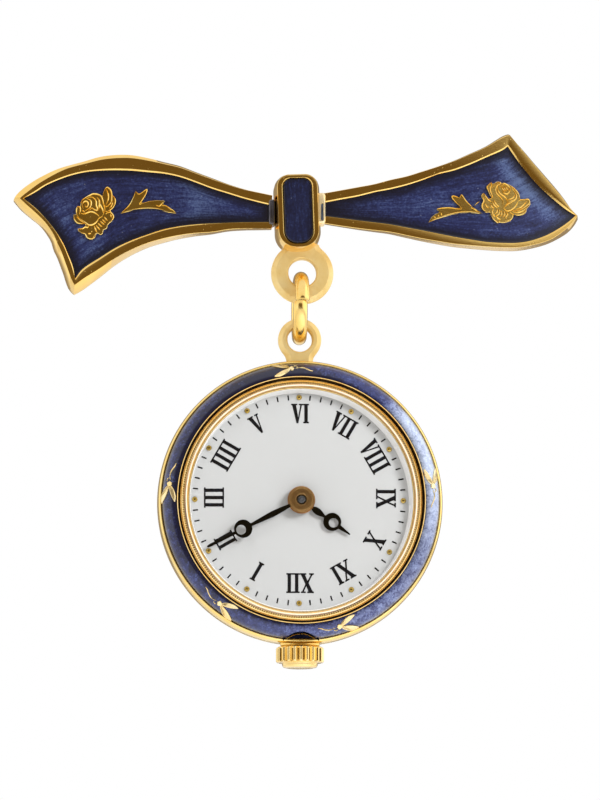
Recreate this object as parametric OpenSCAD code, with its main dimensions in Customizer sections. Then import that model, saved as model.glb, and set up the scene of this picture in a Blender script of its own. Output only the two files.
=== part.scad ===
// Bow brooch of gilt metal and blue enamel, with a small watch that hangs upside down from it on one link.
// +Z is up, the enamel and the dial face -Y, and the wearer's cloth is at +Y.
// The origin is the middle of the brooch's pin stem. Lengths are millimetres and angles are degrees.

/* [Bow tails] */
// Thickness of the tails, from the gold face to the back
tail_t = 2; // [1.8:0.1:2.4]
// How far the tail ends bend back towards the cloth
tail_bend = 2.3; // [1:0.1:3]
// Width of the gold border along the long edges
border_w = 0.75; // [0.5:0.05:0.9]
// Width of the gold border across the outer ends
border_end_w = 0.5; // [0.4:0.05:0.7]
// Depth of the recesses that hold the enamel
recess_d = 0.5; // [0.4:0.05:0.8]
// How far the back of a tail stands out past its face at the outer end
end_draft = 0.42; // [0.1:0.02:0.6]
// How far the enamel lies below the gold face
enamel_drop = 0.08; // [0.05:0.01:0.15]

/* [Knot and strap] */
// Width of the knot's gold face
knot_w = 3.65; // [3.2:0.05:4]
// Height of the knot's gold face
knot_h = 6.75; // [6:0.05:7.2]
// How far the knot stands in front of the tails
knot_rise = 0.9; // [0.6:0.1:1.2]
// Lean of the knot, its foot towards +X
knot_lean = 2; // [0:0.5:4]

/* [Pin] */
// Length between the outer faces of the pin's two posts
pin_len = 28; // [24:0.5:32]
// Radius of the pin stem
pin_r = 0.4; // [0.3:0.05:0.5]
// Distance from the back of the bow to the axis of the stem
pin_back = 2.3; // [2:0.1:3]

/* [Eyelets and link] */
// Outer radius of the bow's eyelet
bow_eye_r = 2.88; // [2.7:0.02:3]
// Radius of the hole in the bow's eyelet
bow_hole_r = 1.29; // [1.2:0.01:1.4]
// Height of the bow's eyelet below the origin
bow_eye_z = 6.67; // [6.4:0.01:6.9]
// Outer radius of the watch's eyelet
watch_eye_r = 1.98; // [1.8:0.02:2.1]
// Radius of the hole in the watch's eyelet
watch_hole_r = 1.13; // [1.05:0.01:1.2]
// Thickness of both eyelets
eye_t = 1.1; // [0.9:0.05:1.2]
// Radius of the link's wire
wire_r = 0.65; // [0.55:0.01:0.7]
// Radius of the link, to the middle of its wire
link_r = 2.725; // [2.6:0.005:2.9]

/* [Watch case] */
// Largest radius of the case
case_r = 13; // [12.8:0.05:13.2]
// Height of the case's centre below the origin
case_z = 27.9; // [27.8:0.05:28]
// Radius of the bore through the case
case_bore_r = 11.3; // [11.1:0.05:11.4]
// Outer radius of the enamelled ring
ring_out_r = 12.67; // [12.4:0.01:12.7]
// Height of the bezel's lip in front of the case's middle plane
lip_h = 2.32; // [2.2:0.01:2.5]
// Radius of the opening over the dial
opening_r = 10.15; // [9.9:0.05:10.3]
// Radius of the crystal
crystal_r = 10.83; // [10.7:0.01:10.85]
// Thickness of the case back's rim
back_t = 0.6; // [0.5:0.05:0.8]

/* [Dial and hands] */
// Height of the dial's face in front of the case's middle plane
dial_h = 0.9; // [0.8:0.05:0.92]
// Radius of the circle of hour studs
stud_ring_r = 9.55; // [9.3:0.05:9.7]
// Radius of one hour stud
stud_r = 0.25; // [0.2:0.01:0.3]
// Reach of the minute hand
minute_len = 9.55; // [9:0.05:9.8]
// Reach of the hour hand
hour_len = 5.4; // [5:0.05:6]
// Minutes that the hands show
minutes = 10.5; // [0:0.5:14]

/* [Crown] */
// Radius of the crown over its ridges
crown_r = 2.18; // [2:0.02:2.3]
// Length of the ridged part
crown_len = 1.4; // [1.2:0.05:1.6]
// Number of ridges round the crown
crown_ridges = 22; // [18:2:28]
// Radius of the winding stem
stem_r = 0.5; // [0.4:0.05:0.5]
// Running clearance round the stem and the centre pipes
fit = 0.04; // [0.03:0.01:0.08]

/* [Hidden] */
seat = 0.02;
gilt = "goldenrod";
pale_gilt = "khaki";
navy = "midnightblue";
violet = "slateblue";

// Planes of the brooch, measured along Y.
face_y = -pin_back - tail_t;
half_span = 26;
eye_y = face_y + 1.4;

// One row for each section across a tail, from the knot outwards.
// Columns: upper edge x, upper edge z, lower edge x, lower edge z.
left_tail = [
    [-2.7, 0.3, -2.7, -2.65], [-6.0, 1.05, -6.0, -2.8], [-9.4, 2.25, -9.3, -3.05],
    [-12.9, 3.4, -12.3, -3.7], [-16.0, 3.95, -14.7, -4.7], [-19.0, 3.75, -16.7, -5.85],
    [-21.7, 2.9, -18.4, -7.05], [-23.9, 1.6, -19.6, -7.9], [-25.6, 0.15, -20.5, -8.3]
];
right_tail = [
    [1.95, 0.65, 1.95, -2.3], [5.3, 1.2, 5.3, -2.55], [8.6, 1.95, 8.9, -3.1],
    [11.6, 2.85, 12.6, -3.85], [14.0, 3.8, 16.2, -4.5], [15.9, 4.6, 19.6, -4.7],
    [17.3, 5.25, 22.3, -4.1], [18.2, 5.68, 24.2, -2.95], [18.9, 6.0, 25.2, -1.5]
];
left_hollow = 0.68;
right_hollow = -0.3;
len_steps = 26;
wide_steps = 4;
knot_wall = 0.28;
edge_draft = 0.14;

// A smooth curve through the rows of a table, t from 0 to 1.
function row(table, i) = table[max(0, min(len(table) - 1, i))];
function along(table, t) =
    let (n = len(table) - 1, s = min(max(t, 0) * n, n - 0.00001), i = floor(s), f = s - i,
         a = row(table, i - 1), b = row(table, i), c = row(table, i + 1), d = row(table, i + 2))
    0.5 * (2 * b + (c - a) * f + (2 * a - 5 * b + 4 * c - d) * f * f + (3 * b - a - 3 * c + d) * f * f * f);
function upper(table, t) = let (r = along(table, t)) [r[0], r[1]];
function lower(table, t) = let (r = along(table, t)) [r[2], r[3]];
function unit(v) = v / norm(v);
function cross2(a, b) = abs(a[0] * b[1] - a[1] * b[0]);
function bend(x) = tail_bend * pow(abs(x) / half_span, 2.2);

// A point of a tail's outline patch: u from the knot to the outer end, v from the upper to the lower edge.
// hollow draws the outer end in, as on a cut ribbon.
function patch(table, hollow, u, v) =
    let (a = upper(table, u), b = lower(table, u), c = unit(lower(table, 1) - upper(table, 1)))
    a + (b - a) * v + hollow * 4 * v * (1 - v) * pow(u, 7) * [-c[1], c[0]];

// How much of v and of u a border of width w takes.
function across_at(table, u, w, side) =
    let (d = 0.01, u1 = min(u, 1 - d), s = lower(table, u) - upper(table, u),
         t = side == 0 ? upper(table, u1 + d) - upper(table, u1) : lower(table, u1 + d) - lower(table, u1))
    w / (norm(s) * cross2(unit(s), unit(t)));
function speed(table, u, v) =
    let (d = 0.01, u1 = max(d, u))
    norm(patch(table, 0, u1, v) - patch(table, 0, u1 - d, v)) / d;

// The same patch drawn in by the borders: w along the long edges, we at the outer end, wk at the knot.
function inner_patch(table, hollow, i, j, w, we, wk) =
    let (v0 = j / wide_steps, u0 = wk / speed(table, 0, v0), u1 = 1 - we / speed(table, 1, v0),
         u = u0 + (u1 - u0) * i / len_steps, va = across_at(table, u, w, 0), vb = 1 - across_at(table, u, w, 1))
    patch(table, hollow, u, va + (vb - va) * v0);

// Grid of the tail's outline, spread outwards by draft at the long edges and the outer end.
function outer_patch(table, hollow, i, j, draft, tip_draft) =
    let (v0 = j / wide_steps, u = 1 + tip_draft / speed(table, 1, v0),
         p = patch(table, hollow, i / len_steps, v0), e = upper(table, i / len_steps) - lower(table, i / len_steps),
         q = unit(patch(table, 0, 1, v0) - patch(table, 0, 0.98, v0)))
    p + unit(e) * draft * (1 - 2 * v0) + q * tip_draft * pow(i / len_steps, 7);

function put(p, y) = [p[0], y + bend(p[0]), p[1]];
function cell(i, j) = i * (wide_steps + 1) + j;
grid_n = (len_steps + 1) * (wide_steps + 1);
rim = concat(
    [for (i = [0 : len_steps - 1]) [i, 0]], [for (j = [0 : wide_steps - 1]) [len_steps, j]],
    [for (i = [len_steps : -1 : 1]) [i, wide_steps]], [for (j = [wide_steps : -1 : 1]) [0, j]]
);
rim_n = len(rim);
function turned(f, flip) = flip ? [f[2], f[1], f[0]] : f;
function sheet_faces(from, flip) = [
    for (i = [0 : len_steps - 1], j = [0 : wide_steps - 1], k = [0, 1])
        turned(k == 0
            ? [from + cell(i, j), from + cell(i + 1, j), from + cell(i + 1, j + 1)]
            : [from + cell(i, j), from + cell(i + 1, j + 1), from + cell(i, j + 1)], flip)
];
function wall_faces(a, b, flip) = [
    for (k = [0 : rim_n - 1], h = [0, 1])
        let (n = (k + 1) % rim_n)
        turned(h == 0 ? [a[k], a[n], b[n]] : [a[k], b[n], b[k]], flip)
];
function rim_of_grid(from) = [for (c = rim) from + cell(c[0], c[1])];
function rim_row(from) = [for (k = [0 : rim_n - 1]) from + k];

// One tail: a bent plate with drafted walls and a recess that leaves a gold border.
module tail(table, hollow, flip) {
    back = [for (i = [0 : len_steps], j = [0 : wide_steps])
        put(outer_patch(table, hollow, i, j, edge_draft, end_draft), face_y + tail_t)];
    floor_grid = [for (i = [0 : len_steps], j = [0 : wide_steps])
        put(inner_patch(table, hollow, i, j, border_w, border_end_w, knot_wall), face_y + recess_d)];
    face_rim = [for (c = rim) put(patch(table, hollow, c[0] / len_steps, c[1] / wide_steps), face_y)];
    lip_rim = [for (c = rim)
        put(inner_patch(table, hollow, c[0], c[1], border_w, border_end_w, knot_wall), face_y)];
    polyhedron(
        points = concat(back, floor_grid, face_rim, lip_rim),
        faces = concat(
            sheet_faces(0, !flip), sheet_faces(grid_n, flip),
            wall_faces(rim_of_grid(0), rim_row(2 * grid_n), flip),
            wall_faces(rim_row(2 * grid_n), rim_row(2 * grid_n + rim_n), flip),
            wall_faces(rim_row(2 * grid_n + rim_n), rim_of_grid(grid_n), flip)
        )
    );
}

// The slab of enamel that fills a tail's recess.
module slab(table, hollow, flip) {
    w = border_w + seat;
    we = border_end_w + seat;
    wk = knot_wall + seat;
    front = [for (i = [0 : len_steps], j = [0 : wide_steps])
        put(inner_patch(table, hollow, i, j, w, we, wk), face_y + enamel_drop)];
    back = [for (i = [0 : len_steps], j = [0 : wide_steps])
        put(inner_patch(table, hollow, i, j, w, we, wk), face_y + recess_d - seat)];
    polyhedron(
        points = concat(back, front),
        faces = concat(sheet_faces(0, !flip), sheet_faces(grid_n, flip),
            wall_faces(rim_of_grid(0), rim_of_grid(grid_n), flip))
    );
}

// Draws a flat shape as seen from the front and thickens it towards the viewer from the plane y.
module facing(y, thick) {
    translate([0, y, 0]) rotate([90, 0, 0]) linear_extrude(thick) children();
}

// Round-cornered upright shape, w by h, with its own radius at the top and at the foot.
module knot_shape(w, h, top_r, foot_r) {
    for (s = [-1, 1]) {
        translate([s * (w / 2 - top_r), h / 2 - top_r]) circle(top_r, $fn = 40);
        translate([s * (w / 2 - foot_r), foot_r - h / 2]) circle(foot_r, $fn = 40);
    }
    translate([top_r - w / 2, 0]) square([w - 2 * top_r, h / 2]);
    translate([foot_r - w / 2, -h / 2]) square([w - 2 * foot_r, h / 2]);
    translate([-w / 2, foot_r - h / 2]) square([w, h - top_r - foot_r]);
}

// Flat ring with bevelled edges, its hole along Y.
module eyelet(outer, hole, at_y, at_z) {
    b = 0.25;
    translate([0, at_y, at_z]) rotate([90, 0, 0]) rotate_extrude($fn = 96) polygon([
        [hole, b - eye_t / 2], [hole + b, -eye_t / 2], [outer - b, -eye_t / 2], [outer, b - eye_t / 2],
        [outer, eye_t / 2 - b], [outer - b, eye_t / 2], [hole + b, eye_t / 2], [hole, eye_t / 2 - b]
    ]);
}

knot_x = -0.36;
knot_z = -1.03;
knot_foot = knot_z - knot_h / 2;
pocket_w = 2.66;
pocket_h = 6.05;
knot_face_y = face_y - knot_rise;
module at_knot() { translate([knot_x, 0, knot_z]) rotate([0, -knot_lean, 0]) children(); }

// Two tails, the strap behind the knot, the knot and the eyelet, soldered into one piece.
module bow_frame() {
    strap_x = 3.1;
    strap_z = 1.35;
    neck_w = 3.05;
    color(gilt) {
        tail(left_tail, left_hollow, true);
        tail(right_tail, right_hollow, false);
        translate([-strap_x, face_y + recess_d + 0.05, knot_z - strap_z])
            cube([2 * strap_x - 0.7, tail_t - recess_d - 0.1, 2 * strap_z]);
        difference() {
            at_knot() union() {
                facing(face_y + tail_t - 0.05, tail_t + knot_rise / 2) knot_shape(knot_w + 0.5, knot_h + 0.3, 1.3, 1.75);
                facing(face_y, knot_rise) knot_shape(knot_w, knot_h, 1.1, 1.55);
            }
            at_knot() facing(knot_face_y + recess_d, recess_d + 1) knot_shape(pocket_w, pocket_h, 0.75, 1.15);
        }
        translate([-neck_w / 2, eye_y - eye_t / 2, -bow_eye_z + bow_hole_r + 0.5])
            cube([neck_w, eye_t, knot_foot + 0.6 + bow_eye_z - bow_hole_r - 0.5]);
        eyelet(bow_eye_r, bow_hole_r, eye_y, -bow_eye_z);
    }
}

module enamel_left() { color(navy) slab(left_tail, left_hollow, true); }

module enamel_right() { color(navy) slab(right_tail, right_hollow, false); }

module enamel_knot() {
    color(navy) at_knot() facing(knot_face_y + recess_d - seat, recess_d - seat - enamel_drop)
        knot_shape(pocket_w - 2 * seat, pocket_h - 2 * seat, 0.73, 1.13);
}

// Lens-shaped leaf along +X, raised by a thin vein.
module leaf(length, width, lift) {
    r = (length * length / 4 + width * width / 4) / width;
    linear_extrude(lift) intersection() {
        translate([length / 2, r - width / 2]) circle(r, $fn = 64);
        translate([length / 2, width / 2 - r]) circle(r, $fn = 64);
    }
    translate([0.1 * length, -0.05, 0]) cube([0.75 * length, 0.1, lift + 0.08]);
}

// Sets a piece of relief on the bent enamel at x, z, its own +Z standing out from the surface.
module on_tail(x, z) {
    d = 0.1;
    slope = atan((bend(x + d) - bend(x - d)) / (2 * d));
    translate([x, face_y + enamel_drop + bend(x) - seat, z]) rotate([0, 0, slope]) rotate([90, 0, 0]) children();
}

// Open rose seen from above: two rounds of petals about a bud, and its leaves.
// leaves has one row for each leaf: direction, length, width.
module rose(leaves, size) {
    petal_rows = [[5, 0.98, 0.78, 0.42], [5, 0.52, 0.62, 0.68]];
    for (p = petal_rows, k = [0 : p[0] - 1])
        rotate(k * 360 / p[0] + p[2] * 50) translate([p[1] * size, 0, 0]) cylinder(r = p[2] * size, h = p[3], $fn = 28);
    cylinder(r = 0.45 * size, h = 0.9, $fn = 28);
    for (l = leaves) rotate(l[0]) translate([0.9 * size, 0, 0]) leaf(l[1], l[2], 0.3);
}

module rose_left() {
    color(gilt) on_tail(-18.97, -1.4)
        rose([[48, 1.7, 0.8], [100, 1.3, 0.7], [178, 1.25, 0.8], [235, 1.2, 0.7], [275, 1.5, 0.9], [325, 1.6, 0.9]], 1);
}

module rose_right() {
    color(gilt) on_tail(18.6, -0.1)
        rose([[20, 1.3, 0.8], [70, 1.1, 0.7], [150, 1.6, 0.8], [200, 1.5, 0.8], [250, 1.0, 0.7], [330, 1.2, 0.8]], 0.98);
}

// Leaf spray: a short stalk with a row of leaves, [along the stalk, side angle, length, width] for each.
module spray(stalk, leaves) {
    translate([0, -0.09, 0]) cube([stalk, 0.18, 0.2]);
    for (l = leaves) translate([l[0], 0, 0]) rotate(l[1]) leaf(l[2], l[3], 0.26);
}

module sprig_left() {
    color(gilt) on_tail(-16.2, -1.15) rotate(-1)
        spray(3, [[1.0, 55, 1.9, 0.55], [1.4, 105, 1.5, 0.5], [1.0, -35, 1.5, 0.55], [2.0, 30, 1.7, 0.5], [2.9, 2, 1.8, 0.55]]);
}

module sprig_right() {
    color(gilt) on_tail(11.7, -1.9) rotate(10)
        spray(2.9, [[0.3, 60, 1.4, 0.5], [1.0, -30, 1.2, 0.45], [1.5, 75, 1.6, 0.5], [2.0, 20, 1.7, 0.5], [2.8, -8, 1.9, 0.6]]);
}

// Brooch pin in one piece: a stem held off the bow's back by a post at each end.
module pin() {
    post_w = 2;
    post_h = 2.4;
    reach = bend(pin_len / 2) + 0.03;
    color(gilt) {
        translate([-pin_len / 2, 0, 0]) rotate([0, 90, 0]) cylinder(r = pin_r, h = pin_len, $fn = 40);
        for (x = [-pin_len / 2, pin_len / 2 - post_w])
            translate([x, -pin_back + reach, -post_h / 2]) cube([post_w, pin_back - reach + pin_r + 0.2, post_h]);
    }
}

// The link stands across both eyelets and is swung round the lower lip of the bow's eyelet.
bow_lip_z = -bow_eye_z - (bow_hole_r + bow_eye_r) / 2;
link_drop = link_r - wire_r - (bow_eye_r - bow_hole_r) / 2 - 0.11;
link_z = bow_lip_z - link_drop;
link_foot_z = link_z - link_r;
watch_eye_z = link_foot_z - (watch_hole_r - wire_r - 0.11);

module jump_ring() {
    color(gilt) difference() {
        translate([0, eye_y, link_z]) rotate([0, 90, 0]) rotate_extrude($fn = 96)
            translate([link_r, 0]) circle(wire_r, $fn = 40);
        translate([-wire_r - 1, eye_y - link_r - wire_r - 1, link_z + 0.55]) cube([2 * wire_r + 2, 3, 0.06]);
    }
}

// Heights in the watch, h, are measured towards the viewer from the case's middle plane.
middle_h = 0.5;
mid_y = eye_y - middle_h;
back_h = -2.6;
module turned_part(profile) {
    translate([0, mid_y, -case_z]) rotate([90, 0, 0]) rotate_extrude($fn = 180) polygon(profile);
}

// Case band with the trough for the enamelled ring, its eyelet and the collar for the crown.
trough_in_h = 1.3;
trough_out_h = 0.55;
collar_r = 1.7;
collar_foot_z = -case_z - case_r - 0.32;
collar_h = -case_z - ring_out_r - 0.08 - collar_foot_z;
module case_middle() {
    neck_w = 2.45;
    color(gilt) difference() {
        union() {
            turned_part([
                [case_bore_r, back_h], [12.4, back_h], [12.8, -2.1], [case_r, -1.2], [case_r, 0], [12.93, 0.6],
                [12.84, 0.88], [12.76, 0.97], [ring_out_r, 0.93], [ring_out_r, trough_out_h], [case_bore_r, trough_in_h]
            ]);
            translate([-neck_w / 2, eye_y - eye_t / 2, -case_z + case_bore_r + 0.6])
                cube([neck_w, eye_t, case_z - case_bore_r - 0.9 + watch_eye_z - watch_hole_r]);
            eyelet(watch_eye_r, watch_hole_r, eye_y, watch_eye_z);
            translate([0, eye_y, collar_foot_z]) cylinder(r = collar_r, h = collar_h, $fn = 64);
        }
        translate([0, eye_y, collar_foot_z - 1]) cylinder(r = stem_r + fit, h = 4.5, $fn = 40);
    }
}

// Snap-on back with a ring that grips inside the case.
module case_back() {
    color(gilt) turned_part([
        [0, back_h - back_t - 0.25], [9, back_h - back_t - 0.2], [11.9, back_h - back_t], [12.35, back_h - back_t + 0.3],
        [12.35, back_h - seat], [case_bore_r - seat, back_h - seat], [case_bore_r - seat, -1.9],
        [case_bore_r - 0.6, -1.9], [case_bore_r - 0.6, back_h - 0.1], [0, back_h - 0.1]
    ]);
}

// Domed ring of enamel that lies in the case's trough.
module enamel_ring() {
    inner = case_bore_r + seat;
    outer = ring_out_r - seat;
    low = 0.9;
    steps = 9;
    color(violet) turned_part(concat(
        [[inner, trough_in_h + seat], [outer, trough_out_h + seat]],
        [for (k = [0 : steps]) let (a = 90 * k / steps) [inner + (outer - inner) * cos(a), low + (lip_h - 0.1 - low) * sin(a)]]
    ));
}

// Gold ring pressed into the case: the lip inside the enamel, the groove and the crystal's ledge.
ledge_h = 2.05;
module bezel() {
    outer = case_bore_r - seat;
    color(pale_gilt) turned_part([
        [opening_r, dial_h + seat], [outer, dial_h + seat], [outer, lip_h - 0.05], [outer - 0.05, lip_h],
        [outer - 0.14, lip_h], [crystal_r + 0.08, ledge_h - 0.2], [crystal_r + seat, ledge_h], [opening_r, ledge_h]
    ]);
}

module crystal() {
    crown_h = 2.95;
    color("lightcyan", 0.4) turned_part([
        [0, ledge_h + seat], [crystal_r, ledge_h + seat], [crystal_r, ledge_h + 0.32], [crystal_r - 0.75, crown_h - 0.13],
        [crystal_r - 3.5, crown_h - 0.04], [0, crown_h]
    ]);
}

post_r = 0.4;
module dial() {
    color("whitesmoke") turned_part([
        [post_r + fit, dial_h - 0.4], [case_bore_r - 0.05, dial_h - 0.4], [case_bore_r - 0.05, dial_h], [post_r + fit, dial_h]
    ]);
}

// Twelve domed studs, one at each hour.
module hour_dots() {
    ball_r = 0.28;
    sunk = sqrt(ball_r * ball_r - stud_r * stud_r);
    color("peru") translate([0, mid_y, -case_z]) rotate([90, 0, 0]) intersection() {
        for (k = [0 : 11]) rotate(k * 30) translate([stud_ring_r, 0, dial_h + seat - sunk]) sphere(ball_r, $fn = 32);
        translate([0, 0, dial_h + seat]) cylinder(r = stud_ring_r + 1, h = 1, $fn = 64);
    }
}

// Plain block for the quartz movement and its holder, with the hole for the stem.
movement_r = 11.1;
module movement() {
    color("silver") difference() {
        turned_part([[post_r + fit, -1.85], [movement_r, -1.85], [movement_r, dial_h - 0.4 - seat], [post_r + fit, dial_h - 0.4 - seat]]);
        translate([0, eye_y, -case_z - movement_r - 1]) cylinder(r = stem_r + fit, h = 5, $fn = 40);
    }
}

module centre_post() {
    color("silver") turned_part([[0, -1.8], [post_r, -1.8], [post_r, 1.88], [post_r - 0.1, 1.96], [0, 1.96]]);
}

// Angles of the hands from +X, with the twelve at the foot of the dial.
minute_turn = 270 - 6 * minutes;
hour_turn = 270 - 30 * (10 + minutes / 60);

// Places the flat shapes of a hand between two heights, turned to its reading.
module hand_at(turn, from_h, to_h) {
    translate([0, mid_y - from_h, -case_z]) rotate([90, 0, 0]) rotate(turn)
        for (k = [0 : $children - 1]) linear_extrude(to_h - from_h) children(k);
}

// Outline of a slim blade along +X, one row for each station: distance, half width.
module blade(stations) {
    polygon(concat([for (s = stations) [s[0], s[1]]], [for (k = [len(stations) - 1 : -1 : 0]) [stations[k][0], -stations[k][1]]]));
}

// Ring near a hand's end, its hole set off towards the tip.
module moon(x, outer, hole, off) {
    difference() {
        translate([x, 0]) circle(outer, $fn = 48);
        translate([x + off, 0]) circle(hole, $fn = 32);
    }
}

hour_pipe_r = 0.95;
minute_pipe_r = 0.7;
hour_flange_r = 1.33;
minute_flange_r = 1.22;
module hour_hand() {
    x = 0.63 * hour_len;
    color("dimgray") hand_at(hour_turn, 1.12, 1.24) {
        difference() {
            circle(1.2, $fn = 48);
            circle(hour_pipe_r + seat, $fn = 48);
        }
        blade([[1.15, 0.14], [1.5, 0.28], [1.86, 0.32], [2.2, 0.24], [2.53, 0.125], [x - 0.7, 0.15]]);
        moon(x, 0.8, 0.45, 0.15);
        blade([[x + 0.7, 0.17], [x + 0.85, 0.19], [hour_len - 0.25, 0.09], [hour_len, 0.02]]);
    }
}

module minute_hand() {
    x = 0.62 * minute_len;
    color("dimgray") hand_at(minute_turn, 1.54, 1.66) {
        difference() {
            circle(1.1, $fn = 48);
            circle(minute_pipe_r + seat, $fn = 48);
        }
        blade([[1.05, 0.13], [2.0, 0.22], [2.9, 0.27], [4.0, 0.21], [5.1, 0.135], [x - 0.75, 0.14]]);
        moon(x, 0.825, 0.47, 0.21);
        blade([[x + 0.75, 0.14], [minute_len - 0.7, 0.15], [minute_len - 0.15, 0.08], [minute_len, 0.02]]);
    }
}

// Brass pipes that carry the hands, each with a flange in front of its hand.
module hour_boss() {
    color("darkgoldenrod") turned_part([
        [minute_pipe_r + fit, dial_h + 0.06], [hour_pipe_r, dial_h + 0.06], [hour_pipe_r, 1.24 + seat],
        [hour_flange_r, 1.24 + seat], [hour_flange_r, 1.42], [minute_pipe_r + fit, 1.42]
    ]);
}

module minute_boss() {
    color("darkgoldenrod") turned_part([
        [post_r + fit, dial_h + 0.06], [minute_pipe_r, dial_h + 0.06], [minute_pipe_r, 1.66 + seat],
        [minute_flange_r, 1.66 + seat], [minute_flange_r, 1.8], [minute_flange_r - 0.05, 1.86], [post_r + 0.1, 1.86],
        [post_r + fit, 1.8]
    ]);
}

// Steel stem that slides out with the crown.
crown_top_z = collar_foot_z - 0.07;
module stem() {
    color("silver") translate([0, eye_y, crown_top_z - crown_len]) cylinder(r = stem_r, h = crown_len + 5, $fn = 40);
}

// Ridged crown with a domed end, bored for the stem.
module crown() {
    cap_r = 1.6;
    groove_r = 0.17;
    foot = crown_top_z - crown_len;
    color(gilt) difference() {
        union() {
            difference() {
                translate([0, eye_y, 0]) rotate_extrude($fn = 96) polygon([
                    [0, foot], [crown_r - 0.12, foot], [crown_r, foot + 0.12], [crown_r, crown_top_z - 0.2],
                    [crown_r - 0.2, crown_top_z], [0, crown_top_z]
                ]);
                for (k = [0 : crown_ridges - 1])
                    translate([0, eye_y, 0]) rotate(k * 360 / crown_ridges) translate([crown_r + 0.03, 0, foot - 0.1])
                        cylinder(r = groove_r, h = crown_len + 0.2, $fn = 16);
            }
            translate([0, eye_y, 0]) rotate_extrude($fn = 96) polygon([
                [0, foot + 0.1], [cap_r, foot + 0.1], [cap_r, foot - 0.25], [cap_r - 0.18, foot - 0.42],
                [cap_r - 0.8, foot - 0.5], [0, foot - 0.53]
            ]);
        }
        translate([0, eye_y, foot - 0.05]) cylinder(r = stem_r + fit, h = crown_len + 1, $fn = 40);
    }
}

bow_frame();
enamel_left();
enamel_right();
enamel_knot();
rose_left();
rose_right();
sprig_left();
sprig_right();
pin();
jump_ring();
case_middle();
case_back();
enamel_ring();
bezel();
crystal();
dial();
hour_dots();
movement();
centre_post();
hour_hand();
hour_boss();
minute_hand();
minute_boss();
stem();
crown();
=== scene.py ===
import math

import bmesh
import bpy
import numpy as np
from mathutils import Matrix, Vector


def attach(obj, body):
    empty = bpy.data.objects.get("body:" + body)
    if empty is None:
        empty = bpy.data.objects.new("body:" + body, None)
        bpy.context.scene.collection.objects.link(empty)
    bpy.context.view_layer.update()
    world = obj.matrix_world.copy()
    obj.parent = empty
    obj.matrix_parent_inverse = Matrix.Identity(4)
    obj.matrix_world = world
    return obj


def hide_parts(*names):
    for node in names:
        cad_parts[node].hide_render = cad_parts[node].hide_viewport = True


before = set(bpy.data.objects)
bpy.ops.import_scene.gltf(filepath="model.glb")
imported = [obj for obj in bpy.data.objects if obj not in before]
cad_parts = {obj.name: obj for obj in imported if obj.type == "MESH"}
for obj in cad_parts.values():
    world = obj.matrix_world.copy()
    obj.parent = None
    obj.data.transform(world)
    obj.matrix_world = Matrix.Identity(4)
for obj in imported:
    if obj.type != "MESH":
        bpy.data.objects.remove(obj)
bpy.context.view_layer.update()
scene = bpy.context.scene

# Gold frames of the two bow tails
# Each tail is struck from gilt brass and bent back towards the cloth, with sloping sides and a sunk field.
# Its flat border is polished like a mirror, and a narrow bright chamfer runs round the field.
MM = 0.001
MERGE = 1e-7
face_y = -4.3
tail_t = 2.0
half_span = 26.0
tail_bend, bend_power = 2.3, 2.2
STEPS_ALONG = 104
STEPS_ACROSS = 26
EDGE_STEPS = (STEPS_ALONG, STEPS_ALONG, STEPS_ACROSS, STEPS_ACROSS)
# Outlines in x and z, outwards from the knot: the field is where the enamel ends, the side is the widest
# line of the sloping sides. The ends run from the upper corner down.
left_field_top = [
    (-2.95, -0.5), (-3.8, -0.3), (-5.25, 0.09), (-6.7, 0.55), (-8.17, 1.02), (-9.63, 1.59), (-11.1, 2.12),
    (-12.55, 2.45), (-14.0, 2.61), (-15.48, 2.77), (-16.94, 2.84), (-18.4, 2.83), (-19.86, 2.7),
    (-21.4, 2.34), (-23.15, 1.67), (-24.33, 0.96), (-25.35, 0.42),
]
left_field_foot = [
    (-2.95, -2.08), (-5.25, -2.09), (-6.7, -2.12), (-8.17, -2.18), (-9.63, -2.26), (-11.1, -2.42),
    (-12.55, -2.69), (-14.0, -3.14), (-15.48, -3.67), (-16.94, -4.35), (-18.4, -5.25), (-19.86, -6.19),
    (-20.6, -7.1),
]
left_field_end = [
    (-25.35, 0.42), (-24.26, -0.51), (-23.53, -1.27), (-22.89, -2.03), (-22.34, -2.79), (-21.88, -3.53),
    (-21.5, -4.28), (-21.2, -5.03), (-20.9, -5.78), (-20.7, -6.5), (-20.6, -7.1),
]
left_side_top = [
    (-2.7, 0.38), (-3.8, 0.65), (-5.25, 1.02), (-6.7, 1.49), (-8.17, 2.06), (-9.63, 2.62), (-11.1, 3.2),
    (-12.55, 3.58), (-14.0, 3.97), (-15.5, 4.27), (-16.94, 4.32), (-18.4, 4.17), (-19.86, 3.78),
    (-22.1, 3.19), (-23.7, 2.49), (-24.9, 1.79), (-25.8, 1.09), (-26.3, 0.47),
]
left_side_foot = [
    (-2.7, -2.5), (-3.8, -2.52), (-5.25, -2.54), (-6.7, -2.64), (-8.17, -2.9), (-9.63, -3.06),
    (-11.1, -3.3), (-12.55, -3.65), (-14.0, -4.09), (-15.5, -4.78), (-16.94, -5.66), (-18.4, -6.8),
    (-19.86, -7.87), (-20.7, -8.33),
]
left_side_end = [
    (-26.3, 0.47), (-25.62, -0.36), (-24.75, -1.12), (-23.85, -1.88), (-23.25, -2.65), (-22.82, -3.4),
    (-22.6, -4.15), (-22.24, -4.9), (-21.96, -5.65), (-21.68, -6.4), (-21.45, -7.15), (-21.15, -7.85),
    (-20.7, -8.33),
]
right_field_top = [
    (2.1, -0.28), (3.7, 0.03), (5.16, 0.31), (6.62, 0.69), (8.08, 0.98), (9.54, 1.36), (11.0, 1.84),
    (12.46, 2.41), (13.92, 2.8), (15.4, 3.37), (16.85, 4.04), (18.33, 4.72), (18.91, 5.15),
]
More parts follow.
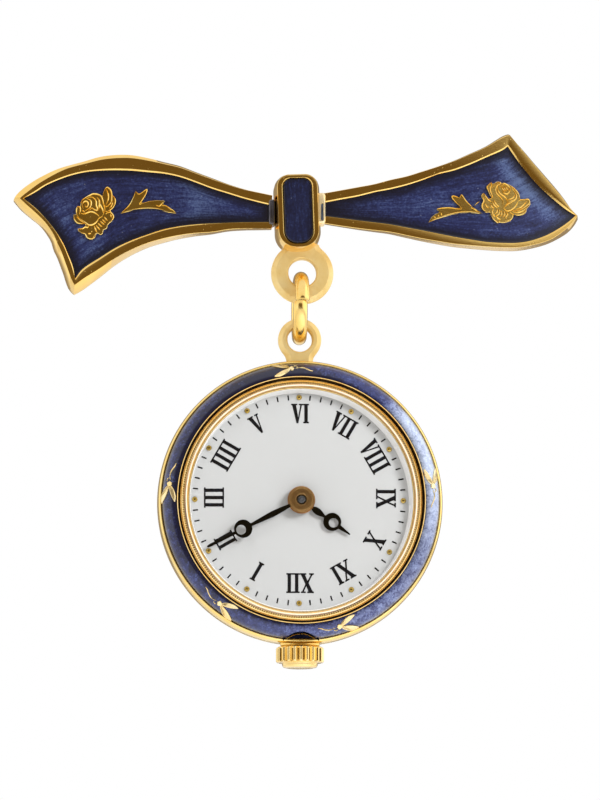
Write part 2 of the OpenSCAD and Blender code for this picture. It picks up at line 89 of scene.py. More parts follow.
right_field_foot = [
    (2.1, -1.53), (3.7, -1.73), (5.16, -1.92), (6.62, -2.09), (8.08, -2.27), (9.54, -2.54), (11.0, -2.8),
    (12.46, -3.08), (13.92, -3.35), (15.4, -3.58), (16.85, -3.78), (18.33, -3.84), (19.82, -3.8),
    (21.28, -3.5), (22.8, -2.9), (24.29, -1.95), (25.2, -1.15),
]
right_field_end = [
    (18.91, 5.15), (19.42, 4.38), (20.23, 3.28), (21.71, 1.57), (23.36, 0.1), (24.43, -0.7), (25.2, -1.15),
]
right_side_top = [
    (1.9, 0.55), (3.7, 0.9), (5.16, 1.19), (6.62, 1.48), (8.08, 1.9), (9.54, 2.24), (11.0, 2.71),
    (12.46, 3.2), (13.92, 3.75), (15.4, 4.43), (16.87, 5.13), (18.4, 6.1), (19.15, 6.38),
]
right_side_foot = [
    (1.9, -1.95), (3.7, -2.25), (5.16, -2.48), (6.62, -2.68), (8.08, -2.87), (9.54, -3.19), (11.0, -3.5),
    (12.46, -3.77), (13.92, -4.0), (15.4, -4.14), (16.87, -4.24), (18.35, -4.3), (19.85, -4.27),
    (21.33, -4.0), (22.85, -3.52), (24.4, -2.65), (25.2, -1.87), (25.6, -1.2),
]
right_side_end = [(19.15, 6.38), (20.93, 4.6), (22.6, 2.75), (24.18, 0.88), (25.6, -1.2)]


def smooth_run(points, per_span):
    """A smooth curve through given points, with so many steps to each span."""
    rows = [np.array(p, dtype=float) for p in points]
    run = []
    for k in range(len(rows) - 1):
        a, b, c, d = (rows[min(max(k + m, 0), len(rows) - 1)] for m in (-1, 0, 1, 2))
        for f in np.arange(per_span) / per_span:
            bow = (2 * a - 5 * b + 4 * c - d) * f * f
            twist = (3 * b - a - 3 * c + d) * f ** 3
            run.append(0.5 * (2 * b + (c - a) * f + bow + twist))
    run.append(rows[-1])
    return np.array(run)


def evenly(points, steps):
    """The same curve cut into equal steps."""
    run = smooth_run(points, 10)
    gone = np.concatenate(([0.0], np.cumsum(np.linalg.norm(np.diff(run, axis=0), axis=1))))
    stops = np.linspace(0.0, gone[-1], steps + 1)
    return np.column_stack([np.interp(stops, gone, run[:, c]) for c in (0, 1)])


def bend(x):
    """How far the tails are bent back at a distance from the middle."""
    return tail_bend * (abs(x) / half_span) ** bend_power


def squared(p):
    """The outlines were drawn over a view a little from below and from the left; this sets them square."""
    wider, swell, shift = 1.0083, 0.00014, 0.11
    taller, lean, rise = 1.009, 0.011, 0.04
    x, z = p
    return (wider * x + swell * x * x + shift, taller * z + lean * x + rise * bend(x))


def edges_of(*outlines):
    """Four edges of a sheet: top, foot, outer end and the straight end at the knot."""
    top, foot, end = ([squared(p) for p in outline] for outline in outlines)
    straight = [top[0], foot[0]]
    return [evenly(edge, steps) for edge, steps in zip((top, foot, end, straight), EDGE_STEPS)]


def looped(top, foot, end, start):
    """The four edges as one closed loop, or values given along them."""
    return np.concatenate((top[:-1], end[:-1], foot[:0:-1], start[:0:-1]))


def opened(ring):
    """A closed loop taken apart into its four edges again."""
    a, w = STEPS_ALONG, STEPS_ACROSS
    closed = np.concatenate((ring, ring[:1]))
    return closed[:a + 1], closed[a + w:2 * a + w + 1][::-1], closed[a:a + w + 1], closed[2 * a + w:][::-1]


def graded(*edges):
    """Values round the loop from a few along each of the four edges."""
    runs = []
    for values, steps in zip(edges, EDGE_STEPS):
        runs.append(np.interp(np.linspace(0, 1, steps + 1), np.linspace(0, 1, len(values)), values))
    return looped(*runs)


def at(curve, t):
    """The point of a curve at a share of its steps."""
    s = min(max(t, 0.0), 1.0) * (len(curve) - 1)
    k = min(int(s), len(curve) - 2)
    return curve[k] + (curve[k + 1] - curve[k]) * (s - k)


def over(sides, u, v):
    """A point of the sheet between four edges: u from the knot outwards, v from the upper edge down."""
    top, foot, end, start = sides
    straight = at(top, u) * (1 - v) + at(foot, u) * v + at(start, v) * (1 - u) + at(end, v) * u
    corners = (top[0] * (1 - v) + foot[0] * v) * (1 - u) + (top[-1] * (1 - v) + foot[-1] * v) * u
    return straight - corners


def unit(v):
    """The same direction with the length 1."""
    return v / np.linalg.norm(v)


def put(p, y):
    """A point of a tail in x and z, bent back with the sheet."""
    return (p[0], y + bend(p[0]), p[1])


def skin(loops, around=True):
    """Faces between neighbouring loops of points, closed around unless told otherwise."""
    n = len(loops[0])
    points = [p for loop in loops for p in loop]
    faces = []
    for r in range(len(loops) - 1):
        for k in range(n if around else n - 1):
            m = (k + 1) % n
            faces.append((r * n + k, r * n + m, (r + 1) * n + m, (r + 1) * n + k))
    return points, faces


def capped(loops):
    """The same with the first and the last loop closed by a face."""
    points, faces = skin(loops)
    n = len(loops[0])
    return points, faces + [tuple(range(n)), tuple(range((len(loops) - 1) * n, len(loops) * n))]


def join(*meshes):
    """One list of points and one of faces from several."""
    points, faces = [], []
    for more_points, more_faces in meshes:
        start = len(points)
        points += more_points
        faces += [tuple(start + k for k in face) for face in more_faces]
    return points, faces


def sheet(point_at):
    """A sheet over all the steps of a tail."""
    down = [j / STEPS_ACROSS for j in range(STEPS_ACROSS + 1)]
    return skin([[point_at(i / STEPS_ALONG, v) for v in down] for i in range(STEPS_ALONG + 1)], around=False)


def per_point(values, points):
    """What each point carries, from a list or from a function of the point, in one row of numbers."""
    listed = [values(p) for p in points] if callable(values) else values
    return np.array(listed, dtype=float).ravel()


def new_piece(name, shape, finish, body, stands_for, grain=None, notes=None, crease=32.0):
    """A piece from points in millimetres: welded, smooth but for its creases, and riding on its body."""
    points, faces = shape
    mesh = bpy.data.meshes.new(name)
    mesh.from_pydata([tuple(MM * c for c in p) for p in points], [], faces)
    if grain is not None:
        strokes = mesh.attributes.new("grain", "FLOAT_VECTOR", "POINT")
        strokes.data.foreach_set("vector", per_point(grain, points))
    for label, values in (notes or {}).items():
        note = mesh.attributes.new(label, "FLOAT", "POINT")
        note.data.foreach_set("value", per_point(values, points))
    form = bmesh.new()
    form.from_mesh(mesh)
    bmesh.ops.remove_doubles(form, verts=form.verts, dist=MERGE)
    bmesh.ops.recalc_face_normals(form, faces=form.faces)
    form.to_mesh(mesh)
    form.free()
    mesh.shade_smooth()
    mesh.set_sharp_from_angle(angle=math.radians(crease))
    mesh.materials.append(finish)
    piece = bpy.data.objects.new(name, mesh)
    scene.collection.objects.link(piece)
    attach(piece, body)
    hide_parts(stands_for)
    return piece


def fill(tree, node, sockets):
    """Sockets of a node set to values or linked from other sockets."""
    for key, value in sockets.items():
        if isinstance(value, bpy.types.NodeSocket):
            tree.links.new(value, node.inputs[key])
        else:
            node.inputs[key].default_value = value


def add_node(tree, kind, sockets, **settings):
    """A shader node with its settings and its filled sockets."""
    made = tree.nodes.new("ShaderNode" + kind)
    for key, value in settings.items():
        setattr(made, key, value)
    fill(tree, made, sockets)
    return made


def new_effect(name, inputs, outputs):
    """An empty node group; returns it with what its inputs give and the node that takes its outputs."""
    tree = bpy.data.node_groups.new(name, "ShaderNodeTree")
    for label, value in inputs.items():
        socket = tree.interface.new_socket(name=label, in_out="INPUT", socket_type="NodeSocketFloat")
        socket.default_value = value
    for label, kind in outputs.items():
        tree.interface.new_socket(name=label, in_out="OUTPUT", socket_type="NodeSocket" + kind)
    return tree, tree.nodes.new("NodeGroupInput").outputs, tree.nodes.new("NodeGroupOutput")


def new_finish(name):
    """An empty material; returns it with its nodes and its surface shader."""
    finish = bpy.data.materials.new(name)
    finish.use_nodes = True
    return finish, finish.node_tree, finish.node_tree.nodes["Principled BSDF"]


def vector_math(tree, operation, sockets):
    return add_node(tree, "VectorMath", sockets, operation=operation)


def in_millimetres(tree):
    """The piece's own coordinates, in millimetres."""
    place = add_node(tree, "TexCoord", {}).outputs["Object"]
    return vector_math(tree, "SCALE", {0: place, "Scale": 1 / MM}).outputs[0]


def noise(tree, vector, scale, detail, roughness=0.5, distortion=0.0):
    """Soft cloudy noise, as a value."""
    cloud = add_node(tree, "TexNoise", {
        "Vector": vector, "Scale": scale, "Detail": detail, "Roughness": roughness,
        "Distortion": distortion})
    return cloud.outputs["Fac"]


def dots(tree, vector, scale, inner, outer):
    """Scattered small round spots: 1 within the inner radius and 0 beyond the outer one."""
    cells = add_node(tree, "TexVoronoi", {"Vector": vector, "Scale": scale, "Randomness": 1.0})
    return spread_out(tree, cells.outputs["Distance"], inner, outer, 1.0, 0.0)


def spread_out(tree, value, low, high, to_low=0.0, to_high=1.0, **settings):
    """A value stretched from one range to another and held inside it."""
    sockets = {"Value": value, "From Min": low, "From Max": high, "To Min": to_low, "To Max": to_high}
    return add_node(tree, "MapRange", sockets, **settings).outputs["Result"]


def sums(tree, operation, a, b, c=0.0):
    """One sum on values or sockets."""
    return add_node(tree, "Math", {0: a, 1: b, 2: c}, operation=operation).outputs[0]


def blended(tree, share, a, b, **settings):
    """Two colours mixed by a share; each is a tuple of three or another socket."""
    a, b = ((*colour, 1.0) if isinstance(colour, tuple) else colour for colour in (a, b))
    mix = add_node(tree, "Mix", {"Factor": share, "A": a, "B": b}, data_type="RGBA", **settings)
    return mix.outputs["Result"]


def bumped(tree, strength, depth, height):
    """The surface's own direction, roughened by a height."""
    dents = {"Strength": strength, "Distance": depth, "Height": height}
    return add_node(tree, "Bump", dents).outputs["Normal"]


# Cloudy polish, hairlines from cloths and small pits, which every worn metal surface here has.
handling, wanted, given = new_effect(
    "handling marks", {"Smooth": 0.06, "Cloud": 0.05, "Relief": 0.3, "Pits": 0.5},
    {"Roughness": "Float", "Tone": "Float", "Normal": "Vector"})
place = in_millimetres(handling)
hair_pitch = (2.2, 7.0, 9.0)
combed = vector_math(handling, "MULTIPLY", {0: place, 1: hair_pitch}).outputs[0]
hairs = noise(handling, combed, 1.0, 6.0, 0.65)
pits = sums(handling, "MULTIPLY", dots(handling, place, 1.9, 0.05, 0.12), wanted["Pits"])
mottle = spread_out(handling, noise(handling, place, 0.55, 4.0, distortion=0.4), 0.36, 0.64)
dulled = sums(handling, "MULTIPLY_ADD", mottle, wanted["Cloud"], wanted["Smooth"])
rubbed = sums(handling, "MULTIPLY_ADD", hairs, sums(handling, "MULTIPLY", wanted["Cloud"], 0.6), dulled)
height = sums(handling, "MULTIPLY_ADD", pits, -1.6, hairs)
fill(handling, given, {
    "Roughness": sums(handling, "MULTIPLY_ADD", pits, 0.3, rubbed),
    "Tone": sums(handling, "MULTIPLY_ADD", pits, 0.5, mottle),
    "Normal": bumped(handling, wanted["Relief"], 0.000012, height)})


def metal(name, bright, shaded, smooth, cloud_share, relief, pits):
    """A metal whose colour wanders between two tones with the handling marks."""
    finish, tree, surface = new_finish(name)
    shares = {"Smooth": smooth, "Cloud": cloud_share, "Relief": relief, "Pits": pits}
    marks = add_node(tree, "Group", shares, node_tree=handling).outputs
    fill(tree, surface, {
        "Base Color": blended(tree, marks["Tone"], bright, shaded), "Roughness": marks["Roughness"],
        "Normal": marks["Normal"], "Metallic": 1.0})
    return finish


polished_gilt = metal("polished_gilt", (0.94, 0.655, 0.21), (0.9, 0.6, 0.18), 0.05, 0.04, 0.3, 0.7)
left_field = edges_of(left_field_top, left_field_foot, left_field_end)
left_side = edges_of(left_side_top, left_side_foot, left_side_end)
right_field = edges_of(right_field_top, right_field_foot, right_field_end)
right_side = edges_of(right_side_top, right_side_foot, right_side_end)
# How far the flat reaches, as a share of the way from the field to the side: its outer and its inner edge.
left_flat_out = graded(
    (0.95, 0.86, 0.8, 0.78, 0.76, 0.76, 0.74, 0.7, 0.5, 0.4),
    (1.4, 1.3, 1.15, 0.98, 0.88, 0.8, 0.7, 0.62, 0.5), (0.4, 0.4, 0.44, 0.5, 0.54, 0.5), (0.9, 0.9))
left_flat_in = graded((0.085, 0.085), (0.09, 0.1), (0.085, 0.085), (0.1, 0.1))
right_flat_out = graded(
    (0.95, 0.9, 0.88, 0.86, 0.82), (1.5, 1.3, 1.15, 1.04, 0.97, 0.93, 0.85, 0.36),
    (0.82, 0.69, 0.66, 0.6, 0.36), (0.9, 0.9))
right_flat_in = graded(
    (0.1, 0.09, 0.09), (0.09, 0.09, 0.085, 0.1, 0.2), (0.12, 0.24, 0.27, 0.27, 0.2), (0.1, 0.1))
# Depth at which the slope below the flat ends: a short bevel along the top, the whole side elsewhere.
bevel_depth = graded((0.42, 0.42), (1.74, 1.74), (0.9, 1.74, 1.74, 1.74), (1.74, 0.42))
field_depth = 0.5
softness = 0.035
# The frame's back is as wide as this share of the way from the field to the side.
back_share = 0.8


def tail_frame(field, side, flat_out, flat_in):
    """The gilt shell of one tail, with its back and the floor of its field."""
    inner, outer = looped(*field), looped(*side)
    way = outer - inner
    hair = softness / np.linalg.norm(way, axis=1)
    steady = np.ones(len(inner))
    rows = [
        (back_share * steady, tail_t), (0.97 * steady, 1.95), (steady, 1.83), (steady, bevel_depth),
        (flat_out + hair, softness), (flat_out, 0.0), (flat_out - hair, 0.0), (flat_in + hair, 0.0),
        (flat_in, 0.004), (flat_in * 0.55, 0.03), (0.0 * steady, 0.078), (0.0 * steady, field_depth),
    ]
    loops = []
    for share, depth in rows:
        ring = inner + way * share[:, None]
        loops.append([put(p, face_y + d) for p, d in zip(ring, depth * steady)])
    back_sides = opened(inner + way * back_share)
    back = sheet(lambda u, v: put(over(back_sides, u, v), face_y + tail_t))
    floor = sheet(lambda u, v: put(over(field, u, v), face_y + field_depth))
    return join(skin(loops), back, floor)


new_piece("bow_tail_left", tail_frame(left_field, left_side, left_flat_out, left_flat_in), polished_gilt,
          "brooch", "bow_frame")
new_piece("bow_tail_right", tail_frame(right_field, right_side, right_flat_out, right_flat_in), polished_gilt,
          "brooch", "bow_frame")

# Enamel of the two tails
# Translucent blue glass fused into the sunk fields over a silvered ground that was brushed from the knot
# outwards, so pale strokes show through it. It is darker along the gold, partly for the deeper glass there
# and partly as painted shade, carries painted sheen in places, and is polished to a gloss.
enamel_depth = 0.1
seat = 0.02

# Strokes of a brushed ground under enamel, drawn along the "grain" that each enamel piece carries. "shore" is
# the distance from the gold, near which the glass darkens, partly for its depth and partly as painted shade,
# and the other note marks where a painted sheen makes the glass paler.
brushed, wanted, given = new_effect(
    "brushed ground", {"Along": 0.1, "Across": 3.5, "Deep": 0.0, "Fine": 2.6, "Shore": 1.0, "Relief": 0.3},
    {"Stroke": "Float", "Patch": "Float", "Specks": "Float", "Unshaded": "Float", "Shine": "Float",
     "Roughness": "Float", "Normal": "Vector"})


def carried(name, output):
    """What a piece's own points carry under a name."""
    return add_node(brushed, "Attribute", {}, attribute_name=name, attribute_type="GEOMETRY").outputs[output]


place = in_millimetres(brushed)
strokes_at, painted_sheen = carried("grain", "Vector"), carried("painted_sheen", "Fac")
sway = add_node(brushed, "TexNoise", {"Vector": strokes_at, "Scale": 0.16, "Detail": 2.0}).outputs["Color"]
swayed = vector_math(brushed, "MULTIPLY_ADD", {0: sway, 1: (0.0, 0.9, 0.0), 2: strokes_at}).outputs[0]
pitches = {"X": wanted["Along"], "Y": wanted["Across"], "Z": wanted["Deep"]}
pitch = add_node(brushed, "CombineXYZ", pitches).outputs[0]
stretched = vector_math(brushed, "MULTIPLY", {0: swayed, 1: pitch}).outputs[0]
wide = noise(brushed, stretched, 1.0, 3.0, 0.6, 0.1)
fine = noise(brushed, stretched, wanted["Fine"], 5.0, 0.8, 0.05)
grains = noise(brushed, place, 5.0, 2.0, 0.7)
coarse = sums(brushed, "MULTIPLY_ADD", wide, 0.65, sums(brushed, "MULTIPLY", grains, 0.6))
both = sums(brushed, "MULTIPLY_ADD", fine, 0.75, coarse)
# Painted sheen: where a piece carries it, the strokes and the shine are made paler, as a painted highlight.
stroke = spread_out(brushed, sums(brushed, "MULTIPLY_ADD", painted_sheen, 0.3, both), 0.8, 1.34)
# Painted shade: close to the gold the glass falls towards a dark bank tone.
uneven = sums(brushed, "MULTIPLY_ADD", both, 0.7, sums(brushed, "SUBTRACT", carried("shore", "Fac"), 0.7))
shine = sums(brushed, "MULTIPLY_ADD", sums(brushed, "SUBTRACT", both, 1.0), 1.6, painted_sheen)
lines = sums(brushed, "MULTIPLY_ADD", both, 0.35, noise(brushed, place, 1.3, 2.0))
fill(brushed, given, {
    "Stroke": stroke,
    "Patch": spread_out(brushed, noise(brushed, strokes_at, 0.36, 2.0, distortion=0.6), 0.38, 0.62),
    "Specks": dots(brushed, place, 1.15, 0.045, 0.075),
    "Unshaded": spread_out(brushed, uneven, 0.12, wanted["Shore"], interpolation_type="SMOOTHSTEP"),
    "Shine": sums(brushed, "MULTIPLY", spread_out(brushed, shine, 0.2, 1.3), painted_sheen),
    "Roughness": sums(brushed, "MULTIPLY_ADD", stroke, -0.12, 0.46),
    "Normal": bumped(brushed, wanted["Relief"], 0.00003, lines)})


def enamel(name, deep, middle, light, silvered, strokes, pool=(0.6, 0.6, 0.72), pale=(0.1, 0.155, 0.3)):
    """Enamel whose strokes run from a deep to a light tone over a ground that shines like metal."""
    finish, tree, surface = new_finish(name)
    ground = add_node(tree, "Group", strokes, node_tree=brushed).outputs
    tones = add_node(tree, "ValToRGB", {"Fac": ground["Stroke"]})
    tones.color_ramp.elements[0].color = (*deep, 1.0)
    tones.color_ramp.elements[1].color = (*light, 1.0)
    tones.color_ramp.elements.new(0.5).color = (*middle, 1.0)
    pooled = blended(tree, ground["Patch"], tones.outputs["Color"], pool, blend_type="MULTIPLY")
    # Painted sheen: the colour is mixed towards a pale tone, as a painted highlight.
    shining = blended(tree, ground["Shine"], pooled, pale)
    dusted = blended(tree, sums(tree, "MULTIPLY", ground["Specks"], 0.3), shining, (0.4, 0.45, 0.58))
    # The bank tone is painted shade along the gold, partly also the deeper glass there.
    painted_rim_shade = tuple(0.4 * c for c in deep)
    fill(tree, surface, {
        "Base Color": blended(tree, ground["Unshaded"], painted_rim_shade, dusted), "Roughness": ground["Roughness"],
        "Normal": ground["Normal"], "Metallic": silvered, "Coat Weight": 1.0, "Coat Roughness": 0.03})
    return finish


tail_blue = enamel(
    "navy_enamel", (0.003, 0.005, 0.034), (0.022, 0.034, 0.135), (0.1, 0.15, 0.34), 0.6,
    {"Along": 0.3, "Across": 4.5, "Fine": 3.2, "Shore": 1.3, "Relief": 0.25})
# Loops of the enamel's surface: distance from the gold, depth behind the gold face.
shore = ((seat, 0.44), (seat, 0.085), (0.045, 0.088), (0.09, 0.094), (0.17, 0.098), (0.28, enamel_depth))


def crossing(edge, step):
    """How far a step takes one away from an edge that runs along the given way."""
    return abs(edge[0] * step[1] - edge[1] * step[0]) / np.linalg.norm(edge)


def drawn_in(sides, u, v, inset):
    """The u and v when all edges are drawn in by a distance, and how far off the gold and the end are."""
    top, foot, end, start = sides
    nose = crossing(at(end, v + 0.03) - at(end, v - 0.03), (over(sides, 1, v) - over(sides, 0.98, v)) / 0.02)
    heel = crossing(start[-1] - start[0], (over(sides, 0.02, v) - over(sides, 0, v)) / 0.02)
    u = inset / heel + (1 - inset / nose - inset / heel) * u
    gap = at(foot, u) - at(top, u)
    upper = crossing(at(top, u + 0.01) - at(top, u - 0.01), gap)
    lower = crossing(at(foot, u + 0.01) - at(foot, u - 0.01), gap)
    v = inset / upper + (1 - inset / upper - inset / lower) * v
    return u, v, min(v * upper, (1 - v) * lower, (1 - u) * nose), (1 - u) * nose


# A tail's length, which the strokes are laid along.
tail_run = 23.0


def tail_enamel(sides, seed, knot_shade_run, painted_sheen_at):
    """The glass of one tail, with the strokes, the distance from the gold (cut short towards the knot as
    painted shade there) and the painted sheen for each point.
    """
    strokes, off_gold, painted_sheens = [], [], []

    def lay(u, v, inset, y):
        u, v, off, off_end = drawn_in(sides, u, v, inset)
        strokes.append((seed + tail_run * u, 5.0 * v, 0.0))
        # Painted shade: the glass darkens towards the knot over the given run of millimetres.
        off_gold.append(min(off, 0.1 + tail_run * u / knot_shade_run))
        painted_sheens.append(painted_sheen_at(tail_run * u, off_end, v))
        return put(over(sides, u, v), face_y + y)

    along = [i / STEPS_ALONG for i in range(STEPS_ALONG + 1)]
    down = [j / STEPS_ACROSS for j in range(STEPS_ACROSS + 1)]
    rim = [(u, 0.0) for u in along[:-1]] + [(1.0, v) for v in down[:-1]]
    rim += [(u, 1.0) for u in along[:0:-1]] + [(0.0, v) for v in down[:0:-1]]
    banks = skin([[lay(u, v, inset, y) for u, v in rim] for inset, y in shore])
    front = sheet(lambda u, v: lay(u, v, shore[-1][0], enamel_depth))
    back = sheet(lambda u, v: lay(u, v, shore[0][0], shore[0][1]))
    return join(banks, front, back), strokes, {"shore": off_gold, "painted_sheen": painted_sheens}


def patch(value, middle, reach):
    """A soft patch: 1 in its middle, fading away with the distance."""
    return math.exp(-((value - middle) / reach) ** 2)


def left_painted_sheen(along, off_end, v):
    """Painted sheen: palest in the tail's first third, and once more near its end."""
    return 0.5 * patch(along, 7.0, 3.2) + 0.3 * patch(off_end, 2.0, 1.5)


def right_painted_sheen(along, off_end, v):
    """Painted sheen: palest along the end, and in a band down the middle."""
    return 0.55 * patch(off_end, 1.2, 0.9) + 0.35 * patch(v, 0.45, 0.2) * min(1.0, along / 12)


shape, strokes, notes = tail_enamel(left_field, 0.0, 2.5, left_painted_sheen)
new_piece("tail_enamel_left", shape, tail_blue, "brooch", "enamel_left", strokes, notes)
shape, strokes, notes = tail_enamel(right_field, 140.0, 6.0, right_painted_sheen)
new_piece("tail_enamel_right", shape, tail_blue, "brooch", "enamel_right", strokes, notes)

# Knot
# An upright gilt cushion soldered over the crossing, leaning a little, with a pocket of its own enamel
# and the strap's two folds standing out on either side: a dark bead at the left, an open loop at the right.
knot_x, knot_z = -0.28, -1.22
knot_lean = math.radians(2)
knot_w, knot_h = 3.65, 6.75
pocket_w, pocket_h = 2.54, 5.95
knot_rise = 0.9
knot_face_y = face_y - knot_rise


def upright(width, tall, top_r, foot_r, arc=14, side=14):
    """Round-cornered upright outline about the knot's middle, with its own radius at the top and the foot."""
    points = []
    corners = ((1, 1, top_r, 0), (-1, 1, top_r, 90), (-1, -1, foot_r, 180), (1, -1, foot_r, 270))
    for sx, sz, r, start in corners:
        for k in range(arc + 1):
            a = math.radians(start + 90 * k / arc)
            points.append((sx * (width / 2 - r) + r * math.cos(a), sz * (tall / 2 - r) + r * math.sin(a)))
    full = []
    for k, p in enumerate(points):
        full.append(p)
        if k % (arc + 1) == arc:
            q = points[(k + 1) % len(points)]
            for s in range(1, side):
                full.append((p[0] + (q[0] - p[0]) * s / side, p[1] + (q[1] - p[1]) * s / side))
    return full


def at_knot(p, y):
    """A point about the knot's middle, leaned with the knot."""
    c, s = math.cos(knot_lean), math.sin(knot_lean)
    return (knot_x + p[0] * c - p[1] * s, y, knot_z + p[0] * s + p[1] * c)


def knot_loop(share, y):
    """A loop between the base (-1), the gold face's edge (0) and the pocket (1)."""
    base, face = (knot_w + 0.5, knot_h + 0.3, 1.3, 1.75), (knot_w, knot_h, 1.1, 1.55)
    pocket = (pocket_w, pocket_h, 0.72, 1.1)
    low, high, f = (base, face, share + 1) if share < 0 else (face, pocket, share)
    return [at_knot(p, y) for p in upright(*(a + (b - a) * f for a, b in zip(low, high)))]


knot_sides = (
    (-1.0, -2.3), (-1.0, -3.9), (-0.9, -4.12), (-0.7, -4.5), (-0.12, -5.08), (-0.04, -5.17), (0.02, -5.195),
    (0.06, -5.2), (0.66, -5.2), (0.7, -5.2), (0.8, -5.14), (1.0, -5.03), (1.0, -4.72))
knot_shape = capped([knot_loop(share, y) for share, y in knot_sides])
new_piece("knot_frame", knot_shape, polished_gilt, "brooch", "bow_frame")

knot_strokes = {"Along": 0.5, "Across": 4.0, "Fine": 2.2, "Shore": 0.8, "Relief": 0.3}
knot_blue = enamel(
    "knot_enamel", (0.004, 0.006, 0.03), (0.011, 0.018, 0.075), (0.05, 0.08, 0.22), 0.65, knot_strokes)
pocket_front = knot_face_y + 0.09
knot_fill = [knot_loop(0.985, -4.74), knot_loop(0.985, knot_face_y + 0.13)]
for inset, y in ((0.0, -0.02), (0.03, -0.012), (0.08, -0.002), (0.2, 0.0), (0.6, -0.03), (1.0, -0.04)):
    w, h = (pocket_w - 0.04) * (1 - inset), (pocket_h - 0.04) * (1 - inset * 0.55)
    loop = upright(w, h, 0.72 * (1 - inset) + 0.001, 1.1 * (1 - inset) + 0.001)
    knot_fill.append([at_knot(p, pocket_front + y) for p in loop])


def upright_grain(p):
    """Strokes that run up and down."""
    return (p[2], p[0], 1.0)


def off_pocket(p):
    """Distance from the pocket's wall, near which the glass darkens, partly for its depth and partly as
    painted shade.
    """
    return max(0.0, min(pocket_w / 2 - abs(p[0] - knot_x), pocket_h / 2 - abs(p[2] - knot_z))) + 0.25


new_piece("knot_enamel", capped(knot_fill), knot_blue, "brooch", "enamel_knot", upright_grain,
          {"shore": off_pocket})


def fold_bar(x0, x1, z0, z1, y_back, y_front, corner, window=None):
    """Rounded upright bar between two heights, with a sunk window in its front if one is given."""
    w, h = x1 - x0, z1 - z0
    cx, cz = (x0 + x1) / 2, (z0 + z1) / 2

    def loop(inset, y):
        r = max(corner - inset, 0.02)
        return [(cx + px, y, cz + pz) for px, pz in upright(w - 2 * inset, h - 2 * inset, r, r, 8, 8)]

    rounding, flatter = min(w, h) * 0.42, 0.62
    loops = [loop(0.0, y_back)]
    for a in (0, 25, 50, 70, 90):
        t = math.radians(a)
        loops.append(loop(rounding * (1 - math.cos(t)) * flatter, y_front + rounding * (1 - math.sin(t))))
    if window:
        wx0, wx1, wz0, wz1, deep = window
        for inset, y in ((-0.02, 0.005), (0.0, 0.04), (0.02, deep)):
            r = 0.12 - inset
            frame_loop = upright(wx1 - wx0 - 2 * inset, wz1 - wz0 - 2 * inset, r, r, 8, 8)
            loops.append([((wx0 + wx1) / 2 + px, y_front + y, (wz0 + wz1) / 2 + pz) for px, pz in frame_loop])
    return capped(loops)


# Gilt made paler as a painted highlight for the right fold, which stands on the brightly lit side.
pale_gilt = metal("pale_gilt", (0.97, 0.86, 0.6), (0.94, 0.78, 0.48), 0.35, 0.1, 0.5, 0.4)
dark_fold = metal("darkened_gilt", (0.16, 0.15, 0.16), (0.05, 0.05, 0.07), 0.22, 0.12, 0.6, 0.8)
fold_blue = enamel(
    "fold_enamel", (0.05, 0.08, 0.14), (0.12, 0.17, 0.27), (0.3, 0.37, 0.5), 0.6, knot_strokes)
window = (1.84, 2.14, -2.02, -0.42)
left_fold = fold_bar(-2.97, -2.33, -2.42, -0.04, -2.9, -4.5, 0.26)
right_fold = fold_bar(1.45, 2.28, -2.3, 0.6, -2.9, -4.62, 0.3, (*window, 0.2))
new_piece("strap_fold_left", left_fold, dark_fold, "brooch", "bow_frame")
new_piece("strap_fold_right", right_fold, pale_gilt, "brooch", "bow_frame")
new_piece("strap_window", fold_bar(*window, -4.2, -4.5, 0.1), fold_blue, "brooch", "bow_frame",
          upright_grain, {"shore": lambda p: 0.7})

# Bow's eyelet
# A flat ring cut in one with its short neck from thick gilt sheet, with wide bevelled edges. It hangs from
# the foot of the knot and is left with the soft satin of the plating bath.
eye_y = -2.9
eye_t = 1.1
EYE_STEPS = 144


def round_angles(steps):
    """The angles of so many even steps round a circle."""
    return [2 * math.pi * k / steps for k in range(steps)]


def smooth_max(a, b, reach):
    """The larger of two, rounded over where they cross."""
    h = max(reach - abs(a - b), 0.0) / reach
    return max(a, b) + h * h * reach / 4


def eyelet(hole_r, ring_r, neck_half, neck_reach, middle, centre_z, neck_sign, bevel):
    """Flat ring with a neck that runs straight up (1) or down (-1), both with bevelled edges."""
    def outline(inset, y):
        loop = []
        for a in round_angles(EYE_STEPS):
            rise = math.sin(a) * neck_sign
            r = ring_r - inset
            if rise > 0.05:
                side = (neck_half - inset) / max(abs(math.cos(a)), 1e-6)
                r = smooth_max(r, min(side, neck_reach / rise), 0.5)
            loop.append((middle + r * math.cos(a), y, centre_z + r * math.sin(a)))
        return loop

    def hole(extra, y):
        r = hole_r + extra
        return [(middle + r * math.cos(a), y, centre_z + r * math.sin(a)) for a in round_angles(EYE_STEPS)]

    front, back = eye_y - eye_t / 2, eye_y + eye_t / 2
    return skin([
        hole(0.0, eye_y), hole(0.0, front + 0.2), hole(0.05, front + 0.07), hole(0.16, front),
        hole(0.2, front), outline(bevel + 0.04, front), outline(bevel, front),
        outline(bevel * 0.9, front + 0.03),
        outline(0.1, front + 0.2), outline(0.02, front + 0.3), outline(0.0, front + 0.42),
        outline(0.0, back - 0.42), outline(0.02, back - 0.3), outline(0.1, back - 0.2), outline(bevel, back),
        hole(0.16, back), hole(0.05, back - 0.07), hole(0.0, back - 0.2), hole(0.0, eye_y)])


satin_gilt = metal("satin_gilt", (0.92, 0.74, 0.37), (0.86, 0.66, 0.28), 0.56, 0.1, 0.8, 0.4)
bow_eye_z = -6.67
bow_eye = eyelet(1.29, 2.86, 1.5, 2.62, 0.21, bow_eye_z, 1, 0.46)
new_piece("bow_eyelet", bow_eye, satin_gilt, "brooch", "bow_frame", crease=20)

